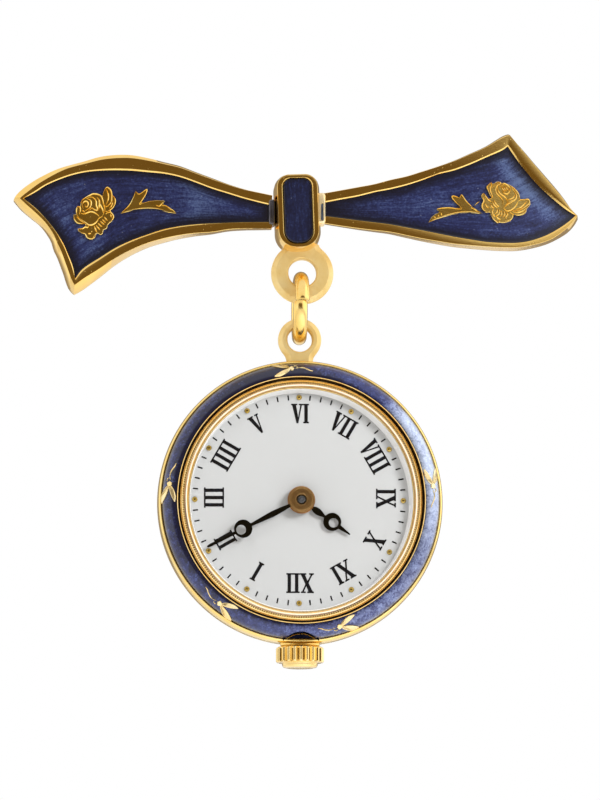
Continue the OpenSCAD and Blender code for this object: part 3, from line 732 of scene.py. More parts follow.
# Roses and sprigs
# Small reliefs struck from thin gilt sheet and fused on the enamel: an open rose with its leaves on each
# tail, and beside it a forked sprig. The petals are flat, with raised bright rounded edges.
petal_lift = 0.13
ridge_top = 0.26


def on_tail(x, z, lift):
    """A point above the enamel of a tail."""
    return (x, face_y + enamel_depth + bend(x) - lift, z)


def left_of(ahead):
    """The direction square to another, to its left."""
    return np.array((-ahead[1], ahead[0]))


def thread(lay, route, width, low, high):
    """A raised half-round line through the points of a route, with tapered ends."""
    run = smooth_run(route, 5)
    rows = []
    last = len(run) - 1
    for k, p in enumerate(run):
        taper = 0.25 + 0.75 * min(1, 3 * k / last, 3 * (last - k) / last)
        side = left_of(unit(run[min(k + 1, last)] - run[max(k - 1, 0)])) * width / 2 * taper
        row = []
        for turn in (-90, -65, -35, 0, 35, 65, 90):
            q = p + side * math.sin(math.radians(turn))
            row.append(lay(q[0], q[1], low + (high - low) * math.cos(math.radians(turn))))
        rows.append(row)
    return capped(rows)


def plate(lay, outline, lift, edge, per_span):
    """A flat-topped relief with softened edges over a given outline."""
    ring = smooth_run(list(outline) + [outline[0]], per_span)[:-1]
    turned_left = np.sum(ring[:, 0] * np.roll(ring[:, 1], -1) - ring[:, 1] * np.roll(ring[:, 0], -1))
    if turned_left < 0:
        ring = ring[::-1]
    rows = []
    for inset, height in ((0.0, -0.03), (0.0, lift - 0.035), (edge, lift)):
        loop = []
        for k, p in enumerate(ring):
            ahead = unit(unit(ring[(k + 1) % len(ring)] - p) + unit(p - ring[k - 1]) + 1e-9)
            q = p + left_of(ahead) * inset
            loop.append(lay(q[0], q[1], height))
        rows.append(loop)
    return capped(rows)


# Each drawing has its own grid, counted to the right and down: a grid point, where it lies on the tail in x
# and z, and the size of a step. The first list is the outline, the others are ridges.
rose_left_grid = ((640, 800), (-18.9, -1.26), (0.0035, 0.00355))
rose_left_drawing = [
    [(970, 85), (1050, 130), (1095, 230), (1100, 300), (1165, 345), (1195, 440), (1175, 560), (1120, 640),
     (1070, 700), (1080, 740), (1140, 800), (1150, 880), (1110, 970), (1030, 1030), (985, 1090),
     (965, 1170), (880, 1200), (860, 1290), (800, 1330), (745, 1290), (690, 1300), (660, 1390), (600, 1450),
     (520, 1440), (440, 1370), (400, 1310), (300, 1280), (225, 1210), (225, 1150), (330, 1160), (390, 1110),
     (420, 1070), (400, 1045), (290, 1040), (180, 1010), (115, 930), (95, 790), (150, 790), (165, 740),
     (155, 640), (200, 570), (270, 580), (285, 500), (300, 440), (370, 370), (450, 330), (560, 265),
     (650, 250), (760, 280), (840, 310), (870, 250), (880, 190), (920, 110)],
    [(280, 480), (330, 400), (430, 340), (560, 270), (650, 258), (760, 285), (830, 350), (880, 520),
     (915, 700), (850, 850)],
    [(850, 850), (760, 900), (700, 990), (600, 1060), (500, 1065), (430, 1020), (330, 950), (240, 880),
     (190, 800)],
    [(430, 370), (530, 420), (560, 500), (540, 590), (480, 650), (400, 690)],
    [(350, 640), (330, 540), (370, 460), (440, 450), (480, 510), (460, 580), (410, 590), (400, 530)],
    [(290, 760), (380, 775), (470, 740), (560, 720), (650, 750), (720, 800), (770, 850)],
    [(330, 680), (400, 740)],
    [(460, 350), (560, 340), (650, 390), (690, 470), (690, 560), (720, 640), (700, 690), (640, 670),
     (580, 630), (530, 660), (470, 720)],
    [(700, 350), (760, 420), (770, 520), (760, 620), (740, 700)],
    [(790, 440), (800, 560), (860, 680), (880, 780)], [(200, 575), (265, 600), (275, 700), (250, 790)],
    [(200, 580), (170, 680), (185, 800)], [(100, 800), (120, 920), (200, 1010), (300, 1030), (400, 1040)],
    [(180, 850), (260, 920), (340, 980), (420, 1030)],
    [(850, 330), (880, 220), (930, 120), (980, 95), (1060, 170), (1090, 270), (1090, 380), (1080, 480),
     (1010, 560), (940, 600), (880, 530)],
    [(950, 150), (1000, 280), (1000, 420), (940, 560)],
    [(1100, 310), (1160, 360), (1185, 460), (1160, 570), (1090, 660), (1000, 720), (930, 720)],
    [(1120, 440), (1100, 560), (1030, 650)], [(900, 870), (980, 960)], [(850, 930), (930, 1010)],
    [(800, 980), (900, 1060)], [(740, 1030), (840, 1120)], [(690, 1080), (790, 1200)],
    [(640, 1100), (710, 1270)],
    [(930, 790), (1040, 740), (1110, 800), (1140, 880), (1100, 960), (1010, 1010)],
    [(1060, 800), (1090, 880)], [(225, 1160), (330, 1160), (400, 1120), (470, 1130), (500, 1090)],
    [(230, 1200), (300, 1270), (400, 1300), (450, 1390), (530, 1430), (610, 1420), (650, 1340),
     (680, 1290)],
    [(565, 1235), (590, 1245)], [(480, 1290), (560, 1290)],
]
rose_right_grid = ((640, 720), (18.23, -0.07), (0.00326, 0.0033))
rose_right_drawing = [
    [(380, 165), (430, 215), (520, 160), (610, 150), (650, 200), (740, 175), (860, 220), (960, 270),
     (1080, 360), (1150, 470), (1190, 590), (1200, 660), (1300, 630), (1420, 615), (1480, 700), (1460, 810),
     (1370, 910), (1360, 990), (1270, 1080), (1110, 1110), (1000, 1080), (985, 1170), (920, 1250),
     (800, 1290), (700, 1310), (600, 1300), (550, 1335), (490, 1270), (400, 1190), (345, 1090), (320, 1020),
     (230, 1030), (150, 980), (90, 900), (95, 820), (140, 740), (130, 660), (90, 560), (150, 470),
     (200, 540), (300, 640), (370, 610), (330, 520), (280, 400), (245, 310), (300, 230)],
    [(380, 175), (300, 240), (250, 320), (290, 420), (340, 530), (380, 600), (340, 640)],
    [(380, 180), (380, 260), (340, 350), (350, 450), (400, 580), (380, 620)],
    [(400, 330), (470, 250), (560, 190), (620, 170), (640, 210), (560, 250), (510, 330), (500, 430),
     (560, 520), (640, 600), (700, 700), (690, 800)],
    [(540, 290), (560, 400), (640, 500), (740, 570), (800, 640), (840, 740)],
    [(620, 300), (700, 240), (740, 200), (830, 240), (890, 310), (920, 350)], [(660, 300), (760, 430)],
    [(700, 290), (800, 420)], [(760, 270), (860, 400)],
    [(680, 400), (740, 470), (830, 490), (890, 420), (900, 340)],
    [(940, 280), (1050, 360), (1130, 460), (1170, 570), (1180, 670)],
    [(960, 340), (1040, 430), (1080, 530), (1070, 620), (1020, 670), (900, 720), (840, 750), (740, 860)],
    [(830, 660), (920, 640), (1000, 590), (1050, 520)], [(730, 880), (830, 790), (950, 710), (1060, 650)],
    [(720, 900), (800, 970), (900, 960), (1000, 900), (1080, 800), (1130, 700)],
    [(1130, 700), (1200, 650), (1320, 640), (1420, 630), (1460, 700), (1440, 760), (1340, 850), (1220, 920),
     (1100, 960), (960, 960)],
    [(1380, 690), (1290, 790), (1190, 880), (1060, 930)],
    [(1440, 800), (1350, 900), (1240, 980), (1100, 1010), (970, 990)],
    [(1360, 930), (1300, 1030), (1200, 1080), (1080, 1090), (980, 1060)],
    [(150, 480), (110, 560), (150, 650), (150, 720), (110, 810), (110, 900), (170, 980), (250, 1010),
     (330, 990)],
    [(170, 500), (220, 580), (300, 680), (370, 720)], [(190, 780), (240, 860), (300, 900)],
    [(340, 790), (380, 860), (450, 910)], [(440, 680), (500, 780), (590, 870)],
    [(390, 720), (450, 810), (540, 890)], [(430, 930), (400, 1000), (420, 1090), (480, 1140)],
    [(540, 930), (530, 1010), (470, 1060)], [(580, 940), (610, 1020), (560, 1090), (500, 1120)],
    [(650, 970), (660, 1060), (620, 1130)], [(720, 990), (750, 1070), (700, 1150)],
    [(790, 1010), (830, 1080), (780, 1150), (780, 1210)],
    [(900, 1010), (970, 1070), (970, 1150), (920, 1220), (820, 1260), (700, 1290)],
    [(340, 1040), (400, 1180), (500, 1280), (560, 1310), (600, 1260)],
    [(500, 1130), (560, 1190), (630, 1230)],
]
sprig_left_grid = ((640, 560), (-14.4, -0.38), (0.00396, 0.004))
sprig_left_drawing = [
    [(105, 765), (300, 590), (390, 420), (450, 240), (530, 320), (715, 190), (690, 320), (580, 510),
     (620, 530), (760, 490), (950, 470), (1050, 480), (1090, 470), (1120, 500), (1080, 560), (1150, 590),
     (1250, 650), (1320, 700), (1390, 780), (1200, 755), (1050, 700), (900, 665), (640, 660), (400, 690),
     (200, 745)],
    [(450, 240), (530, 325), (700, 215), (690, 320), (600, 470), (540, 555), (600, 545)],
    [(450, 260), (390, 420), (300, 580), (130, 745)],
    [(200, 725), (400, 680), (640, 655), (890, 660), (1050, 690), (1200, 745)],
    [(920, 580), (990, 610), (1050, 560), (1100, 500)],
    [(1050, 600), (1150, 600), (1250, 670), (1320, 710), (1380, 775)],
]
sprig_right_grid = ((780, 620), (14.0, -0.77), (0.00361, 0.00367))
sprig_right_drawing = [
    [(100, 975), (180, 850), (270, 770), (390, 720), (310, 640), (420, 605), (640, 590), (840, 605),
     (930, 590), (850, 520), (700, 350), (710, 285), (880, 335), (950, 255), (1020, 370), (1180, 540),
     (1300, 610), (1480, 725), (1380, 735), (1150, 715), (900, 730), (640, 790), (450, 850), (260, 910)],
    [(320, 640), (450, 610), (650, 600), (840, 625), (950, 630)],
    [(950, 610), (830, 500), (710, 360), (720, 300), (820, 320), (870, 345)],
    [(900, 360), (950, 270), (1060, 420), (1190, 550)],
    [(200, 900), (400, 840), (640, 770), (900, 715), (1150, 700), (1350, 715), (1470, 725)],
    [(1190, 590), (1300, 640), (1370, 700)], [(1260, 560), (1340, 480), (1420, 420)],
    [(240, 830), (290, 870)], [(340, 790), (370, 830)], [(420, 740), (440, 800)],
]


def drawn(grid, points):
    """Grid points of a drawing turned into x and z."""
    (across, down), (x, z), (step_x, step_z) = grid
    return [squared((x + (a - across) * step_x, z - (b - down) * step_z)) for a, b in points]


def relief(grid, drawing, ridge, per_span):
    """A drawing's outline as a flat plate, with its lines as ridges of one width."""
    base = plate(on_tail, drawn(grid, drawing[0]), petal_lift, 0.04, per_span)
    ridges = [thread(on_tail, drawn(grid, line), ridge, petal_lift - 0.05, ridge_top) for line in drawing[1:]]
    return join(base, *ridges)


relief_gilt = metal("relief_gilt", (0.97, 0.74, 0.26), (0.86, 0.58, 0.14), 0.05, 0.05, 0.5, 0.5)
reliefs = (
    ("rose_relief_left", "rose_left", rose_left_grid, rose_left_drawing, 0.15, 2),
    ("rose_relief_right", "rose_right", rose_right_grid, rose_right_drawing, 0.14, 2),
    ("sprig_relief_left", "sprig_left", sprig_left_grid, sprig_left_drawing, 0.12, 1),
    ("sprig_relief_right", "sprig_right", sprig_right_grid, sprig_right_drawing, 0.12, 1),
)
for name, stands_for, grid, drawing, ridge, per_span in reliefs:
    new_piece(name, relief(grid, drawing, ridge, per_span), relief_gilt, "brooch", stands_for)

# Brooch pin
# A tapered stem of hard wire that is riveted in a knuckle at one end and lies in a rolled hook at the other.
# Both fittings are soldered to the backs of the tails.
pin_half = 14.0
pin_reach = 13.55


def rounds(sizes, steps):
    """Circles about the pin's line, from their distances along it and their radii."""
    return [[(x, r * math.cos(a), r * math.sin(a)) for a in round_angles(steps)] for x, r in sizes]


def side_plate(x0, x1, outline, edge=0.08):
    """An outline in y and z, given thickness along x, with softened edges."""
    ring = [np.array(p, dtype=float) for p in outline]
    middle = sum(ring) / len(ring)
    rows = []
    for x, inset in ((x0, edge), (x0 + edge, 0.0), (x1 - edge, 0.0), (x1, edge)):
        rows.append([(x, *(p + unit(middle - p) * inset)) for p in ring])
    return capped(rows)


def arc_points(r, a0, a1, steps):
    """An arc about the pin's line, in y and z."""
    angles = (math.radians(a0 + (a1 - a0) * k / steps) for k in range(steps + 1))
    return [(r * math.cos(a), r * math.sin(a)) for a in angles]


solder_y = bend(pin_half) - 2.3


def pad(thick):
    """The foot of a fitting, as it is soldered to a tail."""
    return [(solder_y, -1.1), (solder_y + thick, -1.0), (solder_y + thick, 1.0), (solder_y, 1.1)]


stem_sizes = (
    (-13.0, 0.4), (-9.0, 0.4), (4.0, 0.4), (8.0, 0.34), (11.0, 0.24), (12.8, 0.13), (pin_reach, 0.05))
knuckle_sizes = ((-13.55, 0.1), (-13.55, 0.5), (-13.5, 0.55), (-12.5, 0.55), (-12.45, 0.5), (-12.45, 0.1))
hook_sizes = ((12.3, 0.53, 0.5), (12.35, 0.58, 0.45), (13.75, 0.58, 0.45), (13.8, 0.53, 0.5))
ear = [(solder_y, -1.1)] + arc_points(0.6, -90, 90, 12) + [(solder_y, 1.1)]
post = [(solder_y + 0.3, -0.25), (-0.4, -0.25), (-0.4, 0.25), (solder_y + 0.3, 0.25)]
hinge_shape = join(
    side_plate(-pin_half, -13.6, ear), side_plate(-12.4, -12.0, ear), side_plate(-13.6, -12.4, pad(0.5)),
    skin(rounds(knuckle_sizes, 24)))
hook = [[(x, y, z) for y, z in arc_points(r0, -60, 205, 24) + arc_points(r1, 205, -60, 24)]
        for x, r0, r1 in hook_sizes]
catch_shape = join(side_plate(12.1, pin_half, pad(0.35)), skin(hook), side_plate(12.4, 13.7, post, 0.05))
pin_gilt = metal("pin_gilt", (0.93, 0.7, 0.27), (0.84, 0.58, 0.18), 0.16, 0.1, 0.5, 0.5)
new_piece("pin_stem", capped(rounds(stem_sizes, 20)), pin_gilt, "brooch", "pin")
new_piece("pin_hinge", hinge_shape, pin_gilt, "brooch", "pin")
new_piece("pin_catch", catch_shape, pin_gilt, "brooch", "pin")

# Link
# One ring of thick round gilt wire, closed with pliers: its cut shows in front, and the two halves stand
# a hair to either side of each other.
link_z = -9.925
link_r = 2.725
wire_r = 0.65
link_cut = 4.5
LINK_STEPS, WIRE_STEPS = 120, 28
link_rows = []
for k in range(LINK_STEPS + 1):
    turn = link_cut + 0.6 + (360 - 1.2) * k / LINK_STEPS
    a = math.radians(turn)
    # The ends part sideways near the cut, the upper one towards +X.
    near = math.cos(math.radians(turn - link_cut) / 2)
    shift = 0.1 * math.copysign(abs(near) ** 2, near)
    end = min(k, LINK_STEPS - k)
    r = wire_r * (0.86, 0.97, 1.0)[min(end, 2)]
    ring = []
    for b in round_angles(WIRE_STEPS):
        out = link_r + r * math.cos(b)
        ring.append((r * math.sin(b) + shift, eye_y - out * math.cos(a), link_z + out * math.sin(a)))
    link_rows.append(ring)
link_gilt = metal("link_gilt", (0.95, 0.7, 0.26), (0.88, 0.6, 0.18), 0.09, 0.08, 0.7, 0.7)
new_piece("link_wire", capped(link_rows), link_gilt, "link", "jump_ring")

# Watch case
# A turned gilt band with a rounded rim round the enamelled ring, an eyelet at the top that was cut with
# a short neck, and below it the collar that guides the crown's stem.
mid_y = eye_y - 0.5
case_z = -27.9
case_bore_r = 11.3
ring_out_r = 12.6
back_h = -2.6
TURNED_STEPS = 288


def on_watch(r, a, h):
    """A point at a radius and an angle about the dial's axis, and a height above the case's middle plane."""
    return (r * math.cos(a), mid_y - h, case_z + r * math.sin(a))


def turned(profile, steps=TURNED_STEPS, knurl=None):
    """A profile of radius and height, turned about the dial's axis."""
    rows = []
    for r, h in profile:
        row = []
        for k, a in enumerate(round_angles(steps)):
            rk, hk = knurl(r, h, k) if knurl else (r, h)
            row.append(on_watch(rk, a, hk))
        rows.append(row)
    return skin(rows)


def softened(profile, radius, steps=3):
    """The profile with each inner corner rounded off."""
    out = [profile[0]]
    for k in range(1, len(profile) - 1):
        p, q, s = (np.array(profile[k + m], dtype=float) for m in (-1, 0, 1))
        a = q + (p - q) * min(0.5, radius / np.linalg.norm(p - q))
        b = q + (s - q) * min(0.5, radius / np.linalg.norm(s - q))
        for m in range(steps + 1):
            f = m / steps
            out.append(tuple((1 - f) ** 2 * a + 2 * f * (1 - f) * q + f * f * b))
    out.append(profile[-1])
    return out


case_gilt = metal("case_gilt", (0.95, 0.73, 0.29), (0.9, 0.65, 0.22), 0.13, 0.08, 0.4, 0.4)
band = softened([
    (case_bore_r, 1.3), (case_bore_r, back_h), (12.4, back_h), (12.8, -2.1), (13.0, -1.2), (13.0, 0.0),
    (12.95, 0.55), (12.86, 0.88), (12.74, 0.975), (ring_out_r, 0.95), (ring_out_r, 0.55),
    (case_bore_r, 1.3)], 0.12)
new_piece("case_band", turned(band), case_gilt, "watch", "case_middle")
watch_eye_z = -12.87
watch_eye = eyelet(1.13, 1.98, 1.2, 2.6, -0.03, watch_eye_z, -1, 0.4)
new_piece("case_eyelet", watch_eye, satin_gilt, "watch", "case_middle", crease=24)


def upright_turned(profile, steps=96, ridge=None):
    """A profile of radius and z, turned about the stem's axis."""
    rows = []
    for r, z in profile:
        row = []
        for k, a in enumerate(round_angles(steps)):
            rk = ridge(r, z, k) if ridge else r
            row.append((rk * math.cos(a), eye_y + rk * math.sin(a), z))
        rows.append(row)
    return skin(rows)


collar = softened([
    (0.54, -40.97), (1.74, -40.97), (1.84, -40.9), (1.8, -40.72), (1.72, -40.5), (1.6, -40.3), (0.54, -40.3),
    (0.54, -40.97)], 0.06)
# Front to back the collar is no thicker than the band.
flatter = 0.62
collar_points, collar_faces = upright_turned(collar)
collar_points = [(x, eye_y + flatter * (y - eye_y), z) for x, y, z in collar_points]
new_piece("crown_collar", (collar_points, collar_faces), case_gilt, "watch", "case_middle")

# Case back
# A thin snap-on lid of gilt brass, almost flat, with a fine groove round its middle. It is turned and
# polished, and a thin wall behind its rim snaps into the case.
lid = softened([
    (0.0, -3.44), (8.8, -3.42), (9.0, -3.38), (9.2, -3.4), (11.85, -3.2), (12.35, -2.9), (12.35, -2.62),
    (11.28, -2.62), (11.28, -1.9), (10.7, -1.9), (10.7, -2.7), (0.0, -2.7)], 0.08)
spun_gilt = metal("spun_gilt", (0.93, 0.69, 0.27), (0.9, 0.65, 0.24), 0.2, 0.05, 0.35, 0.4)
new_piece("back_lid", turned(lid), spun_gilt, "watch", "case_back")

# Enamelled ring
# A half-round ring of the same translucent glass over a hammered ground, domed towards its inner edge, with
# five small gilt sprays fused on it, all pointing the same way round. It is cut away in an arc at the crown.
ring_in_r = 11.32
ring_low, ring_top = 0.9, 2.2
crown_notch_z, crown_notch_r = -41.92, 2.04
# The last tone is the pale colour of the ring's painted reflection at the right.
ring_blue = enamel(
    "ring_enamel", (0.008, 0.011, 0.07), (0.024, 0.037, 0.16), (0.1, 0.145, 0.38), 0.62,
    {"Along": 1.6, "Across": 1.6, "Deep": 1.6, "Fine": 4.2, "Shore": 0.5, "Relief": 0.5}, (0.72, 0.66, 0.78),
    (0.52, 0.6, 0.74))


def ring_limit(a):
    """Outer radius of the enamel at an angle, drawn in where the arc beside the crown cuts it."""
    reach = -math.sin(a) * (case_z - crown_notch_z)
    across = (case_z - crown_notch_z) * math.cos(a)
    outer = ring_out_r + 0.01
    if math.sin(a) < 0 and abs(across) < crown_notch_r:
        outer = min(outer, reach - math.sqrt(crown_notch_r ** 2 - across ** 2))
    return outer


def ring_height(r):
    """Height of the domed enamel, steep outside and level towards its inner edge."""
    t = min(max((r - ring_in_r) / (ring_out_r + 0.01 - ring_in_r), 0.0), 1.0)
    return ring_low + (ring_top - ring_low) * math.sqrt(max(1 - t ** 2.2, 0.0))


RING_STEPS = 540
around = round_angles(RING_STEPS)
inner_foot = [on_watch(ring_in_r, a, 1.32) for a in around]
dome_rows = [inner_foot]
for k in range(15):
    share = math.sin(math.radians(90 * k / 14))
    radii = [ring_in_r + (ring_limit(a) - ring_in_r) * share for a in around]
    dome_rows.append([on_watch(r, a, ring_height(r)) for r, a in zip(radii, around)])
dome_rows += [[on_watch(ring_limit(a), a, 0.6) for a in around], inner_foot]


def polar(p):
    """Radius and angle of a point about the dial's axis."""
    return math.hypot(p[0], p[2] - case_z), math.atan2(p[2] - case_z, p[0])


def ring_grain(p):
    """The hammered ground has no direction, so its marks take the watch's own coordinates."""
    r, a = polar(p)
    return (r * math.cos(a), r * math.sin(a), 0.6 * p[1])


def off_rims(p):
    """Distance from the gold, drawn in at the left and about the top, so that the darkening along the gold
    spreads there as painted shade.
    """
    r, a = polar(p)
    # Painted shade: the left side and the top of the ring are made darker.
    pool = 0.5 - 0.5 * p[0] / r + 0.62 * math.exp(-((math.degrees(a) - 98) / 30) ** 2)
    return max(0.0, min((r - ring_in_r) * (1.3 - pool), ring_out_r - r + 0.12)) + 0.3 - 0.25 * pool


def ring_painted_reflection(p):
    """Painted reflection of the bright light at the right: the enamel is made palest there, fading down and
    round to the foot.
    """
    shown_at = (-130, -90, -60, -30, -8, 10, 40, 50, 56)
    shown = (0.0, 0.2, 0.42, 0.55, 0.8, 1.0, 0.95, 0.3, 0.0)
    return float(np.interp(math.degrees(polar(p)[1]), shown_at, shown))


new_piece("ring_enamel", skin(dome_rows), ring_blue, "watch", "enamel_ring",
          ring_grain, {"shore": off_rims, "painted_sheen": ring_painted_reflection})


spray_r = 12.0


def on_ring(angle):
    """Lays a relief on the ring: along it from the angle, and outwards from its middle radius."""
    def lay(s, t, lift):
        a = math.radians(angle) + s / spray_r
        r = spray_r + t
        out = r + lift * 0.5
        return (out * math.cos(a), mid_y - ring_height(r) - lift * 0.85, case_z + out * math.sin(a))
    return lay


# One spray on the ring, in hundredths of a millimetre along it and outwards from where its leaves meet: two
# full leaves, the small cap that they spring from, and the line of the stem with its curl.
spray_leaves = [
    [(6, 3), (24, 26), (46, 42), (68, 54), (94, 62), (118, 67), (166, 62), (146, 45), (112, 28), (84, 16),
     (50, 6), (20, -2)],
    [(6, -3), (22, -24), (44, -40), (68, -51), (94, -59), (118, -63), (166, -56), (144, -41), (112, -26),
     (84, -15), (50, -5), (20, 2)],
    [(-30, 0), (-20, 7), (-14, 20), (0, 21), (14, 14), (24, 8), (26, 0), (24, -8), (14, -14), (0, -21),
     (-14, -20), (-20, -7)],
]
spray_stem = [(-200, -22), (-172, -16), (-140, -2), (-105, 9), (-72, 8), (-40, 0)]
spray_curl = [(-60, 6), (-52, 22), (-34, 27), (-22, 16)]


def spray(lay):
    """The leaves, the stem and the curl of one spray."""
    def hundredths(points):
        return [(a / 100, b / 100) for a, b in points]

    leaves = [plate(lay, hundredths(leaf), 0.13, 0.05, 2) for leaf in spray_leaves]
    lines = [thread(lay, hundredths(line), width, -0.02, 0.09)
             for line, width in ((spray_stem, 0.11), (spray_curl, 0.08))]
    return leaves + lines


sprays = [part for angle in (6.4, 94.5, 173.7, 232.2, 286.7) for part in spray(on_ring(angle))]
spray_gilt = metal("spray_gilt", (0.98, 0.84, 0.5), (0.95, 0.72, 0.32), 0.16, 0.08, 0.5, 0.4)
new_piece("ring_sprays", join(*sprays), spray_gilt, "watch", "enamel_ring")

# A near-black sheet in the notch is painted shade of the recess, and a thin wire lies along it.
notch_from, notch_sweep, NOTCH_STEPS = 143, 106, 32
notch_edge = []
for k in range(NOTCH_STEPS + 1):
    a = math.radians(notch_from - notch_sweep * k / NOTCH_STEPS)
    notch_edge.append((crown_notch_r * math.cos(a), crown_notch_z + crown_notch_r * math.sin(a)))
notch_rows = []
for x, z in notch_edge:
    rim_z = case_z - math.sqrt(ring_out_r ** 2 - x * x) + 0.1
    notch_rows.append([
        (x, mid_y - 1.25, z + 0.03), (x, mid_y - 1.2, z), (x, mid_y - 0.98, rim_z), (x, mid_y - 0.7, rim_z)])
# Painted shade: near-black metal for the sheet in the notch.
notch_shade = metal("painted_notch_shade", (0.012, 0.014, 0.035), (0.004, 0.004, 0.012), 0.5, 0.2, 0.8, 0.6)
new_piece("notch_shade_sheet", skin(notch_rows, around=False), notch_shade, "watch", "enamel_ring")
wire = [(0.94 * x, z * 0.93 + crown_notch_z * 0.07) for x, z in notch_edge if z > crown_notch_z + 1.42]
wire_shape = thread(lambda x, z, lift: (x, mid_y - 1.21 - lift, z), wire, 0.1, 0.0, 0.2)
new_piece("notch_wire", wire_shape, case_gilt, "watch", "enamel_ring")

# Bezel
# A turned gold ring pressed into the case. Inwards from its thin bright lip come a groove with a dark ring
# laid in it as painted shade, a sloping shelf with fine coin cuts, the seat of the crystal's gasket and a
# plain inner lip.
opening_r = 10.15
ledge_h = 2.05
dial_h = 0.9
crystal_r = 10.83
bezel_profile = softened([
    (opening_r, dial_h + 0.02), (11.27, dial_h + 0.02), (11.3, 2.2), (11.28, 2.29), (11.24, 2.33),
    (11.2, 2.29), (11.18, 2.15), (11.17, 1.8), (10.99, 1.8), (10.975, 1.925), (10.955, 1.945), (10.935, 1.93),
    (10.925, 1.88), (10.9, 1.88), (10.885, 1.96), (10.52, 2.05), (10.5, 2.0), (10.5, 1.6), (10.34, 1.6),
    (10.33, 1.9), (10.27, 1.96), (10.19, 1.96), (opening_r, 1.92), (opening_r, dial_h + 0.02)], 0.02, 2)
COINS = 320


def coin_edge(r, h, k):
    """Fine cuts across the sloping shelf that shows round the crystal."""
    on_shelf = 10.53 < r < 10.9 and 1.95 < h < 2.06
    return r, h + on_shelf * (0.012 if k % 3 == 0 else -0.012)


bezel_gilt = metal("bezel_gilt", (0.96, 0.72, 0.32), (0.92, 0.62, 0.22), 0.1, 0.08, 0.4, 0.3)
bezel_shape = turned(bezel_profile, COINS * 3, coin_edge)
new_piece("bezel_ring", bezel_shape, bezel_gilt, "watch", "bezel")
# A dark ring laid in the groove inside the lip is painted shade.
groove_shade = metal("painted_groove_shade", (0.035, 0.024, 0.012), (0.015, 0.01, 0.006), 0.22, 0.1, 0.6, 0.4)
groove_shade_profile = softened([
    (10.995, 1.79), (11.165, 1.79), (11.165, 1.9), (11.08, 1.87), (10.995, 1.9), (10.995, 1.79)], 0.03)
new_piece("bezel_shade_line", turned(groove_shade_profile), groove_shade, "watch", "bezel")


def clouded(name, one, other, scale, smoothest, dullest, cloud_range=None):
    """A plain finish whose colour and gloss drift a little from place to place."""
    finish, tree, surface = new_finish(name)
    cloud = noise(tree, in_millimetres(tree), scale, 4.0)
    share = spread_out(tree, cloud, *cloud_range) if cloud_range else cloud
    fill(tree, surface, {
        "Base Color": blended(tree, share, one, other),
        "Roughness": spread_out(tree, cloud, 0.3, 0.7, smoothest, dullest)})
    return finish


# A cream nylon gasket lies in the bezel's groove and carries the crystal.
nylon = clouded("gasket_nylon", (0.9, 0.78, 0.62), (0.78, 0.62, 0.44), 1.4, 0.25, 0.4)
gasket_profile = softened([
    (10.345, 1.61), (10.49, 1.61), (10.49, 2.02), (10.46, ledge_h + 0.02), (10.38, ledge_h + 0.02),
    (10.345, 2.0), (10.345, 1.61)], 0.03)
new_piece("crystal_gasket", turned(gasket_profile, 180), nylon, "watch", "bezel")

# Crystal
# A low domed mineral glass with a polished bevel, pressed into the gasket. Light from outside reaches the
# dial straight, as it does through clear glass.
edge_r, under_h = crystal_r - 0.04, ledge_h + 0.03
crystal_profile = softened([
    (0.0, under_h), (10.1, under_h), (edge_r, under_h), (edge_r, 2.2), (10.6, 2.42), (10.2, 2.52),
    (7.5, 2.74), (4.0, 2.86), (0.0, 2.9)], 0.05)
glass, tree, surface = new_finish("crystal_glass")
smear = noise(tree, in_millimetres(tree), 0.5, 4.0)
fill(tree, surface, {
    "Base Color": (1.0, 1.0, 1.0, 1.0), "Transmission Weight": 1.0, "IOR": 1.5,
    "Roughness": spread_out(tree, smear, 0.45, 0.75, 0.0, 0.025)})
clear = add_node(tree, "BsdfTransparent", {}).outputs[0]
path = add_node(tree, "LightPath", {}).outputs
scattered = sums(tree, "MAXIMUM", path["Is Diffuse Ray"], path["Is Glossy Ray"])
straight = sums(tree, "MAXIMUM", path["Is Shadow Ray"], scattered)
either = add_node(tree, "MixShader", {0: straight, 1: surface.outputs[0], 2: clear})
fill(tree, tree.nodes["Material Output"], {"Surface": either.outputs[0]})
new_piece("crystal_dome", turned(crystal_profile), glass, "watch", "crystal")

# Dial
# A white lacquered brass disc with printed black numerals and minute strokes, the twelve at the foot, and
# twelve small domed brass studs riveted at the hours.
dial_white, tree, surface = new_finish("dial_lacquer")
place = in_millimetres(tree)
haze = noise(tree, place, 0.25, 5.0)
dust = sums(tree, "MULTIPLY", dots(tree, place, 1.0, 0.04, 0.09), 0.6)
lacquered = blended(tree, haze, (0.44, 0.452, 0.456), (0.425, 0.434, 0.438))
fill(tree, surface, {
    "Base Color": blended(tree, dust, lacquered, (0.5, 0.5, 0.5)),
    "Roughness": spread_out(tree, haze, 0.3, 0.7, 0.38, 0.5)})
dial_profile = softened([
    (0.44, 0.5), (11.22, 0.5), (11.25, 0.6), (11.25, dial_h), (0.5, dial_h), (0.44, 0.86), (0.44, 0.5)], 0.03)
new_piece("dial_plate", turned(dial_profile, 180), dial_white, "watch", "dial")
# A white sloping ring stands on the dial and fills the gap up to the bezel.
slope_r, slope_w = 10.07, 0.16
flange_profile = softened([
    (10.13, dial_h), (10.13, 1.86), (10.1, 1.88), (slope_r, 1.84), (9.91, dial_h + 0.04),
    (9.9, dial_h)], 0.03)


def leaning(points, faces):
    """The ring's foot sits towards the lower left, so it shows wide at the upper right."""
    moved = []
    for x, y, z in points:
        low = min(max((slope_r - polar((x, y, z))[0]) / slope_w, 0.0), 1.0)
        moved.append((x - 0.16 * low, y, z - 0.14 * low))
    return moved, faces


flange_white = clouded("flange_white", (0.84, 0.84, 0.83), (0.74, 0.74, 0.74), 0.8, 0.12, 0.3)
flange_shape = leaning(*turned(flange_profile + flange_profile[:1], 180))
new_piece("dial_flange", flange_shape, flange_white, "watch", "dial")

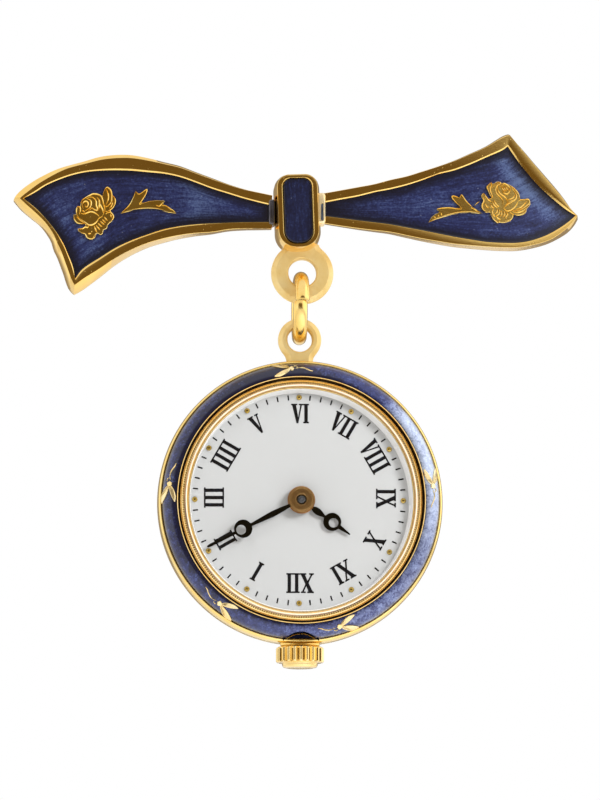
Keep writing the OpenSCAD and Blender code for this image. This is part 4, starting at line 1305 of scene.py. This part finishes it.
cap_h = 1.79
numeral_in_r = 6.91


def numeral_at(q):
    """The numerals were printed a hair high and to the left of the dial's middle."""
    return -0.1 + q[0] * 0.996, case_z + 0.2 + q[1] * 0.988


def stud_at(q):
    """The studs and the strokes sit a hair to the left too."""
    return -0.18 + q[0], case_z + 0.03 + q[1] * 0.992


ink_lift = 0.02
serif_t = 0.14
under = cap_h - serif_t
# Width and outline of the two letters with slanting strokes.
LETTERS = {
    "V": (1.09, [
        (0.0, cap_h), (0.0, under), (0.1, under), (0.5, 0.0), (0.66, 0.0), (0.98, under), (1.09, under),
        (1.09, cap_h), (0.71, cap_h), (0.71, under), (0.84, under), (0.65, 0.52), (0.46, under),
        (0.57, under), (0.57, cap_h)]),
    "X": (1.28, [
        (0.0, cap_h), (0.0, under), (0.1, under), (0.48, 0.86), (0.12, serif_t), (0.0, serif_t), (0.0, 0.0),
        (0.43, 0.0), (0.43, serif_t), (0.28, serif_t), (0.57, 0.7), (0.8, serif_t), (0.68, serif_t),
        (0.68, 0.0), (1.28, 0.0), (1.28, serif_t), (1.18, serif_t), (0.77, 0.98), (1.06, under),
        (1.17, under), (1.17, cap_h), (0.74, cap_h), (0.74, under), (0.9, under), (0.69, 1.15), (0.5, under),
        (0.6, under), (0.6, cap_h)]),
}


def stroke_run(count, x0):
    """Upright strokes side by side under joined serifs: outline cells and the width they take."""
    stem, gap, serif = 0.31, 0.67, 0.11
    edges = [0.0]
    for k in range(count):
        edges += [serif + gap * k, serif + gap * k + stem]
    edges.append(edges[-1] + serif)
    heights = (0.0, serif_t, under, cap_h)
    quads = []
    for c in range(len(edges) - 1):
        for r in range(3):
            if r != 1 or c % 2 == 1:
                xa, xb, ya, yb = x0 + edges[c], x0 + edges[c + 1], heights[r], heights[r + 1]
                quads.append([(xa, ya), (xb, ya), (xb, yb), (xa, yb)])
    return quads, edges[-1]


def stamped(corners):
    """A hair-thick print on the dial from its corners in x and z."""
    return capped([[(x, mid_y - h, z) for x, z in corners] for h in (dial_h - 0.005, dial_h + ink_lift)])


def numeral(text, hour):
    """A numeral printed with its foot towards the centre, reading clockwise."""
    polygons, x, k = [], 0.0, 0
    while k < len(text):
        if text[k] == "I":
            count = len(text) - len(text[k:].lstrip("I")) - k
            made, width = stroke_run(count, x)
            k += count
        else:
            width, outline = LETTERS[text[k]]
            made = [[(x + px, py) for px, py in outline]]
            k += 1
        polygons += made
        x += width + 0.01
    a = math.radians(270 - 30 * hour)
    out, clockwise = np.array((math.cos(a), math.sin(a))), np.array((math.sin(a), -math.cos(a)))
    return [stamped([numeral_at(out * (numeral_in_r + py) + clockwise * (px - x / 2)) for px, py in polygon])
            for polygon in polygons]


ink = clouded("dial_ink", (0.001, 0.003, 0.007), (0.004, 0.006, 0.011), 6.0, 0.1, 0.2, (0.45, 0.75))
NUMERALS = ("XII", "I", "II", "III", "IIII", "V", "VI", "VII", "VIII", "IX", "X", "XI")
printed = [shape for hour, text in enumerate(NUMERALS) for shape in numeral(text, hour)]
new_piece("dial_numerals", join(*printed), ink, "watch", "dial", crease=20)

tick_in_r, tick_out_r, tick_half = 9.18, 9.65, 0.0625
tick_corners = (
    (tick_in_r, -tick_half), (tick_out_r, -tick_half), (tick_out_r, tick_half), (tick_in_r, tick_half))
ticks = []
for minute in (m for m in range(60) if m % 5):
    a = math.radians(6 * minute)
    out, side = np.array((math.cos(a), math.sin(a))), np.array((-math.sin(a), math.cos(a)))
    ticks.append(stamped([stud_at(out * r + side * w) for r, w in tick_corners]))
new_piece("minute_strokes", join(*ticks), ink, "watch", "dial", crease=20)

stud_ring_r = 9.42
stud_profile = ((0.24, 0.0), (0.25, 0.03), (0.235, 0.08), (0.19, 0.125), (0.11, 0.15), (0.03, 0.158))
studs = []
for hour in range(12):
    a = math.radians(30 * hour)
    cx, cz = stud_at((stud_ring_r * math.cos(a), stud_ring_r * math.sin(a)))
    studs.append(capped([
        [(cx + r * math.cos(b), mid_y - dial_h - h, cz + r * math.sin(b)) for b in round_angles(28)]
        for r, h in stud_profile]))
brass = metal("stud_brass", (0.58, 0.42, 0.13), (0.38, 0.26, 0.06), 0.14, 0.1, 0.5, 0.5)
new_piece("hour_studs", join(*studs), brass, "watch", "hour_dots")

# Hands
# Blackened steel stampings with a moon ring near each tip, their edges rubbed bright. Each is pressed on a
# brass pipe whose turned flange shows at the centre, one above the other.
minutes_shown = 10.5
minute_turn = 270 - 6 * minutes_shown
hour_turn = 270 - 30 * (10 + minutes_shown / 60)


def hand(turn, low_h, high_h, blade, circles, holes, edge=0.035):
    """A hand along its own x: blade rows of distance and half width, and circles of centre and radius."""
    stations = {row[0] for row in blade}
    for centre, r in circles + holes:
        stations |= {centre + r * math.cos(math.pi * k / 24) for k in range(25)}
    first, last = blade[0][0], blade[-1][0]
    stations |= set(np.linspace(first, last, 60))
    stations = sorted(stations)

    def half_of(x, rounds):
        return max([math.sqrt(max(r * r - (x - c) ** 2, 0.0)) for c, r in rounds], default=0.0)

    def half_width(x):
        flat = float(np.interp(x, *zip(*blade))) if first <= x <= last else 0.0
        return max(flat, half_of(x, circles))

    cos_t, sin_t = math.cos(math.radians(turn)), math.sin(math.radians(turn))
    points, faces = [], []
    for side in (1, -1):
        start = len(points)
        open_at = []
        for x in stations:
            w, hole = half_width(x), half_of(x, holes)
            e = min(edge, max(w - hole, 0.0) / 2)
            lip = edge if hole > 0 else 0.0
            cut = [
                (hole, low_h), (hole, high_h - lip), (min(hole + min(lip, e), w), high_h),
                (max(w - e, hole), high_h), (w, high_h - min(edge, w)), (w, low_h)]
            for v, h in cut:
                across = side * v
                points.append((x * cos_t - across * sin_t, mid_y - h, case_z + x * sin_t + across * cos_t))
            open_at.append(hole > 0)
        for k in range(len(stations) - 1):
            for m in range(6):
                if m == 0 and not (open_at[k] or open_at[k + 1]):
                    continue
                a, b = start + 6 * k + m, start + 6 * k + (m + 1) % 6
                faces.append((a, b, b + 6, a + 6))
    return points, faces


black_steel = metal("black_steel", (0.006, 0.009, 0.014), (0.012, 0.016, 0.022), 0.12, 0.06, 0.4, 0.3)
minute_blade = [
    (0.9, 0.14), (1.2, 0.15), (2.0, 0.23), (2.9, 0.27), (4.0, 0.21), (5.1, 0.135), (5.3, 0.14),
    (6.5, 0.14), (8.6, 0.15), (9.3, 0.13), (9.5, 0.09), (9.56, 0.02)]
hour_blade = [
    (1.0, 0.12), (1.25, 0.16), (1.5, 0.28), (1.86, 0.32), (2.2, 0.24), (2.53, 0.125), (2.8, 0.14),
    (4.1, 0.18), (4.25, 0.2), (4.9, 0.12), (5.3, 0.07), (5.4, 0.04)]
minute_shape = hand(
    minute_turn, 1.54, 1.66, minute_blade, [(0, 1.1), (5.91, 0.83)], [(0, 0.72), (6.12, 0.44)])
hour_shape = hand(
    hour_turn, 1.12, 1.24, hour_blade, [(0, 1.2), (3.42, 0.82)], [(0, 0.97), (3.57, 0.43)])
new_piece("minute_hand_blade", minute_shape, black_steel, "minute", "minute_hand", crease=28)
new_piece("hour_hand_blade", hour_shape, black_steel, "hour", "hour_hand", crease=28)

hand_brass = metal("hand_brass", (0.37, 0.22, 0.085), (0.24, 0.13, 0.045), 0.24, 0.14, 0.8, 0.8)
hour_pipe = softened([
    (0.74, 0.96), (0.95, 0.96), (0.95, 1.25), (1.24, 1.25), (1.26, 1.28), (1.26, 1.34), (1.23, 1.38),
    (0.74, 1.38), (0.74, 0.96)], 0.03)
minute_pipe = softened([
    (0.44, 0.96), (0.7, 0.96), (0.7, 1.68), (1.16, 1.68), (1.18, 1.71), (1.18, 1.79), (1.14, 1.85),
    (1.08, 1.86), (1.04, 1.835), (1.0, 1.835), (0.96, 1.86), (0.56, 1.86), (0.5, 1.845), (0.44, 1.8),
    (0.44, 0.96)], 0.02, 2)
red_brass = metal("red_brass", (0.5, 0.24, 0.08), (0.3, 0.13, 0.04), 0.22, 0.14, 0.8, 0.6)
new_piece("hour_flange", turned(hour_pipe, 96), red_brass, "hour", "hour_boss")
new_piece("minute_flange", turned(minute_pipe, 96), hand_brass, "minute", "minute_boss")
steel = metal("steel", (0.2, 0.21, 0.235), (0.09, 0.1, 0.115), 0.2, 0.1, 0.6, 0.9)
post_profile = softened([
    (0.0, -1.78), (0.37, -1.78), (0.37, 1.8), (0.28, 1.92), (0.12, 1.93), (0.06, 1.9), (0.0, 1.9)], 0.04)
new_piece("cannon_post", turned(post_profile, 48), steel, "watch", "centre_post")

# Movement and stem
# The quartz movement fills the case behind the dial and doesn't show; the steel stem runs from it through
# the collar to the crown and slides with it.
plate_metal = metal("movement_plate", (0.6, 0.6, 0.58), (0.45, 0.45, 0.44), 0.35, 0.15, 0.8, 0.6)
for name, finish in (("movement", plate_metal), ("stem", steel)):
    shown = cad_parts[name]
    shown.data.materials.clear()
    shown.data.materials.append(finish)

# Crown
# Turned from gilt brass with twenty-two rounded ridges, a chamfered shoulder towards the case and a low
# domed cap at its end.
crown_top_z = -41.0
crown_len = 1.52
crown_r = 2.18
crown_ridges = 22
RIDGE_STEPS = 14
foot_z = crown_top_z - crown_len


def ridged(r, z, k):
    """The radius at one step round the crown: full on a ridge, drawn in at the groove beside it."""
    if r < crown_r - 0.25:
        return r
    groove = abs(math.cos(math.pi * (k % RIDGE_STEPS) / RIDGE_STEPS)) ** 3.0
    fade = min(1.0, max(0.0, (z - foot_z - 0.04) / 0.12), max(0.0, (crown_top_z - 0.16 - z) / 0.1))
    return r - 0.34 * groove * math.sqrt(fade)


crown_profile = softened([
    (0.54, crown_top_z), (1.72, crown_top_z), (1.95, crown_top_z - 0.07), (2.12, crown_top_z - 0.16),
    (crown_r, crown_top_z - 0.24), (crown_r, crown_top_z - 0.34), (crown_r, foot_z + 0.3),
    (crown_r, foot_z + 0.14), (2.1, foot_z + 0.04), (1.95, foot_z), (1.63, foot_z - 0.01),
    (1.6, foot_z - 0.26), (1.5, foot_z - 0.4), (1.2, foot_z - 0.47), (0.0, foot_z - 0.5)], 0.04)
crown_gilt = metal("crown_gilt", (0.94, 0.75, 0.38), (0.9, 0.66, 0.26), 0.1, 0.05, 0.4, 0.4)
bore = [(0.0, foot_z - 0.05), (0.54, foot_z - 0.05)]
crown_shape = upright_turned(bore + crown_profile, crown_ridges * RIDGE_STEPS, ridged)
new_piece("crown_knob", crown_shape, crown_gilt, "setting_crown", "crown", crease=40)

# Studio
# The watch hangs in a white tent over a pale floor. The flat gold mirrors the dark, warm opening for the
# camera, and a bright panel stands at the right. One lamp high at the left and a stronger one at the upper
# right cast soft shadows on the dial.
camera_turn, camera_rise = math.radians(-3.3), math.radians(-8.4)
aim = Vector((-0.027, -3.5, -18.5)) * MM
frame_height = 800 * 0.0913 * MM
lens, sensor = 200.0, 36.0


def from_camera(turn, rise):
    """The direction at a turn to the right of the front and a rise."""
    return Vector((math.sin(turn) * math.cos(rise), -math.cos(turn) * math.cos(rise), math.sin(rise)))


towards_camera = from_camera(camera_turn, camera_rise)
camera = bpy.data.objects.new("camera", bpy.data.cameras.new("camera"))
camera.data.lens = lens
camera.data.sensor_width = sensor
camera.data.clip_start, camera.data.clip_end = 0.01, 20.0
camera.location = aim + towards_camera * (frame_height * lens / sensor)
camera.rotation_mode = "QUATERNION"
camera.rotation_quaternion = (-towards_camera).to_track_quat("-Z", "Y")
scene.collection.objects.link(camera)
scene.camera = camera

tent = bpy.data.worlds.new("tent")
tent.use_nodes = True
tree = tent.node_tree
tree.nodes.clear()
generated = add_node(tree, "TexCoord", {}).outputs["Generated"]
looking = vector_math(tree, "NORMALIZE", {0: generated}).outputs[0]


def cosine(degrees):
    return math.cos(math.radians(degrees))


def soft_round(way, none, full):
    """A soft-edged round patch of the tent about a direction, between two cosines."""
    facing = vector_math(tree, "DOT_PRODUCT", {0: looking, 1: way}).outputs["Value"]
    return spread_out(tree, facing, none, full, interpolation_type="SMOOTHSTEP")


# The cloth is brightest low down. Over it lie the opening, the darker wall behind the watch, the bright
# panel and, where the camera itself sees it, plain white.
upward = spread_out(tree, add_node(tree, "SeparateXYZ", {0: looking}).outputs["Z"], -0.3, 0.95)
opening = soft_round(towards_camera, cosine(42), cosine(26))
behind = soft_round(towards_camera, -0.62, -0.9)
panel = soft_round(from_camera(camera_turn + math.radians(84), math.radians(12)), cosine(46), cosine(36))
on_camera = add_node(tree, "LightPath", {}).outputs["Is Camera Ray"]
cloth = blended(tree, upward, (1.25, 1.24, 1.22), (1.0, 0.97, 0.95))
for share, colour in (
        (opening, (0.165, 0.112, 0.045)), (behind, (0.34, 0.29, 0.22)), (panel, (1.6, 1.58, 1.55)),
        (on_camera, (1.0, 1.0, 1.0))):
    cloth = blended(tree, share, cloth, colour)
sky = add_node(tree, "Background", {"Color": cloth, "Strength": 1.0})
add_node(tree, "OutputWorld", {"Surface": sky.outputs[0]})
scene.world = tent


def softbox(name, turn, rise, distance, wide, tall, radiance, mirrored=True):
    """A rectangular lamp that faces the watch from a direction given like the camera's."""
    lamp = bpy.data.lights.new(name, "AREA")
    lamp.shape = "RECTANGLE"
    lamp.size, lamp.size_y = wide, tall
    lamp.energy = radiance * math.pi * wide * tall
    stand = bpy.data.objects.new(name, lamp)
    way = from_camera(math.radians(turn), math.radians(rise))
    stand.location = Vector((0, 0, -0.02)) + way * distance
    stand.rotation_mode = "QUATERNION"
    stand.rotation_quaternion = (-way).to_track_quat("-Z", "Y")
    stand.visible_camera = False
    stand.visible_glossy = mirrored
    scene.collection.objects.link(stand)


softbox("key_above", -25, 50, 0.6, 0.16, 0.16, 7.0, mirrored=False)
softbox("key_right", 44, 24, 0.6, 0.18, 0.18, 34.0, mirrored=False)

floor_mesh = bpy.data.meshes.new("floor")
floor_z, floor_half = -0.25, 1.6
floor_corners = [(x * floor_half, y * floor_half, floor_z) for x, y in ((-1, -1), (1, -1), (1, 1), (-1, 1))]
floor_mesh.from_pydata(floor_corners, [], [(0, 1, 2, 3)])
paper, tree, surface = new_finish("pale_paper")
fibre = noise(tree, in_millimetres(tree), 0.02, 6.0)
fill(tree, surface, {
    "Base Color": blended(tree, fibre, (0.86, 0.86, 0.86), (0.9, 0.9, 0.9)), "Roughness": 0.8})
floor_mesh.materials.append(paper)
floor = bpy.data.objects.new("floor", floor_mesh)
scene.collection.objects.link(floor)

scene.view_settings.view_transform = "Standard"
bpy.context.view_layer.update()
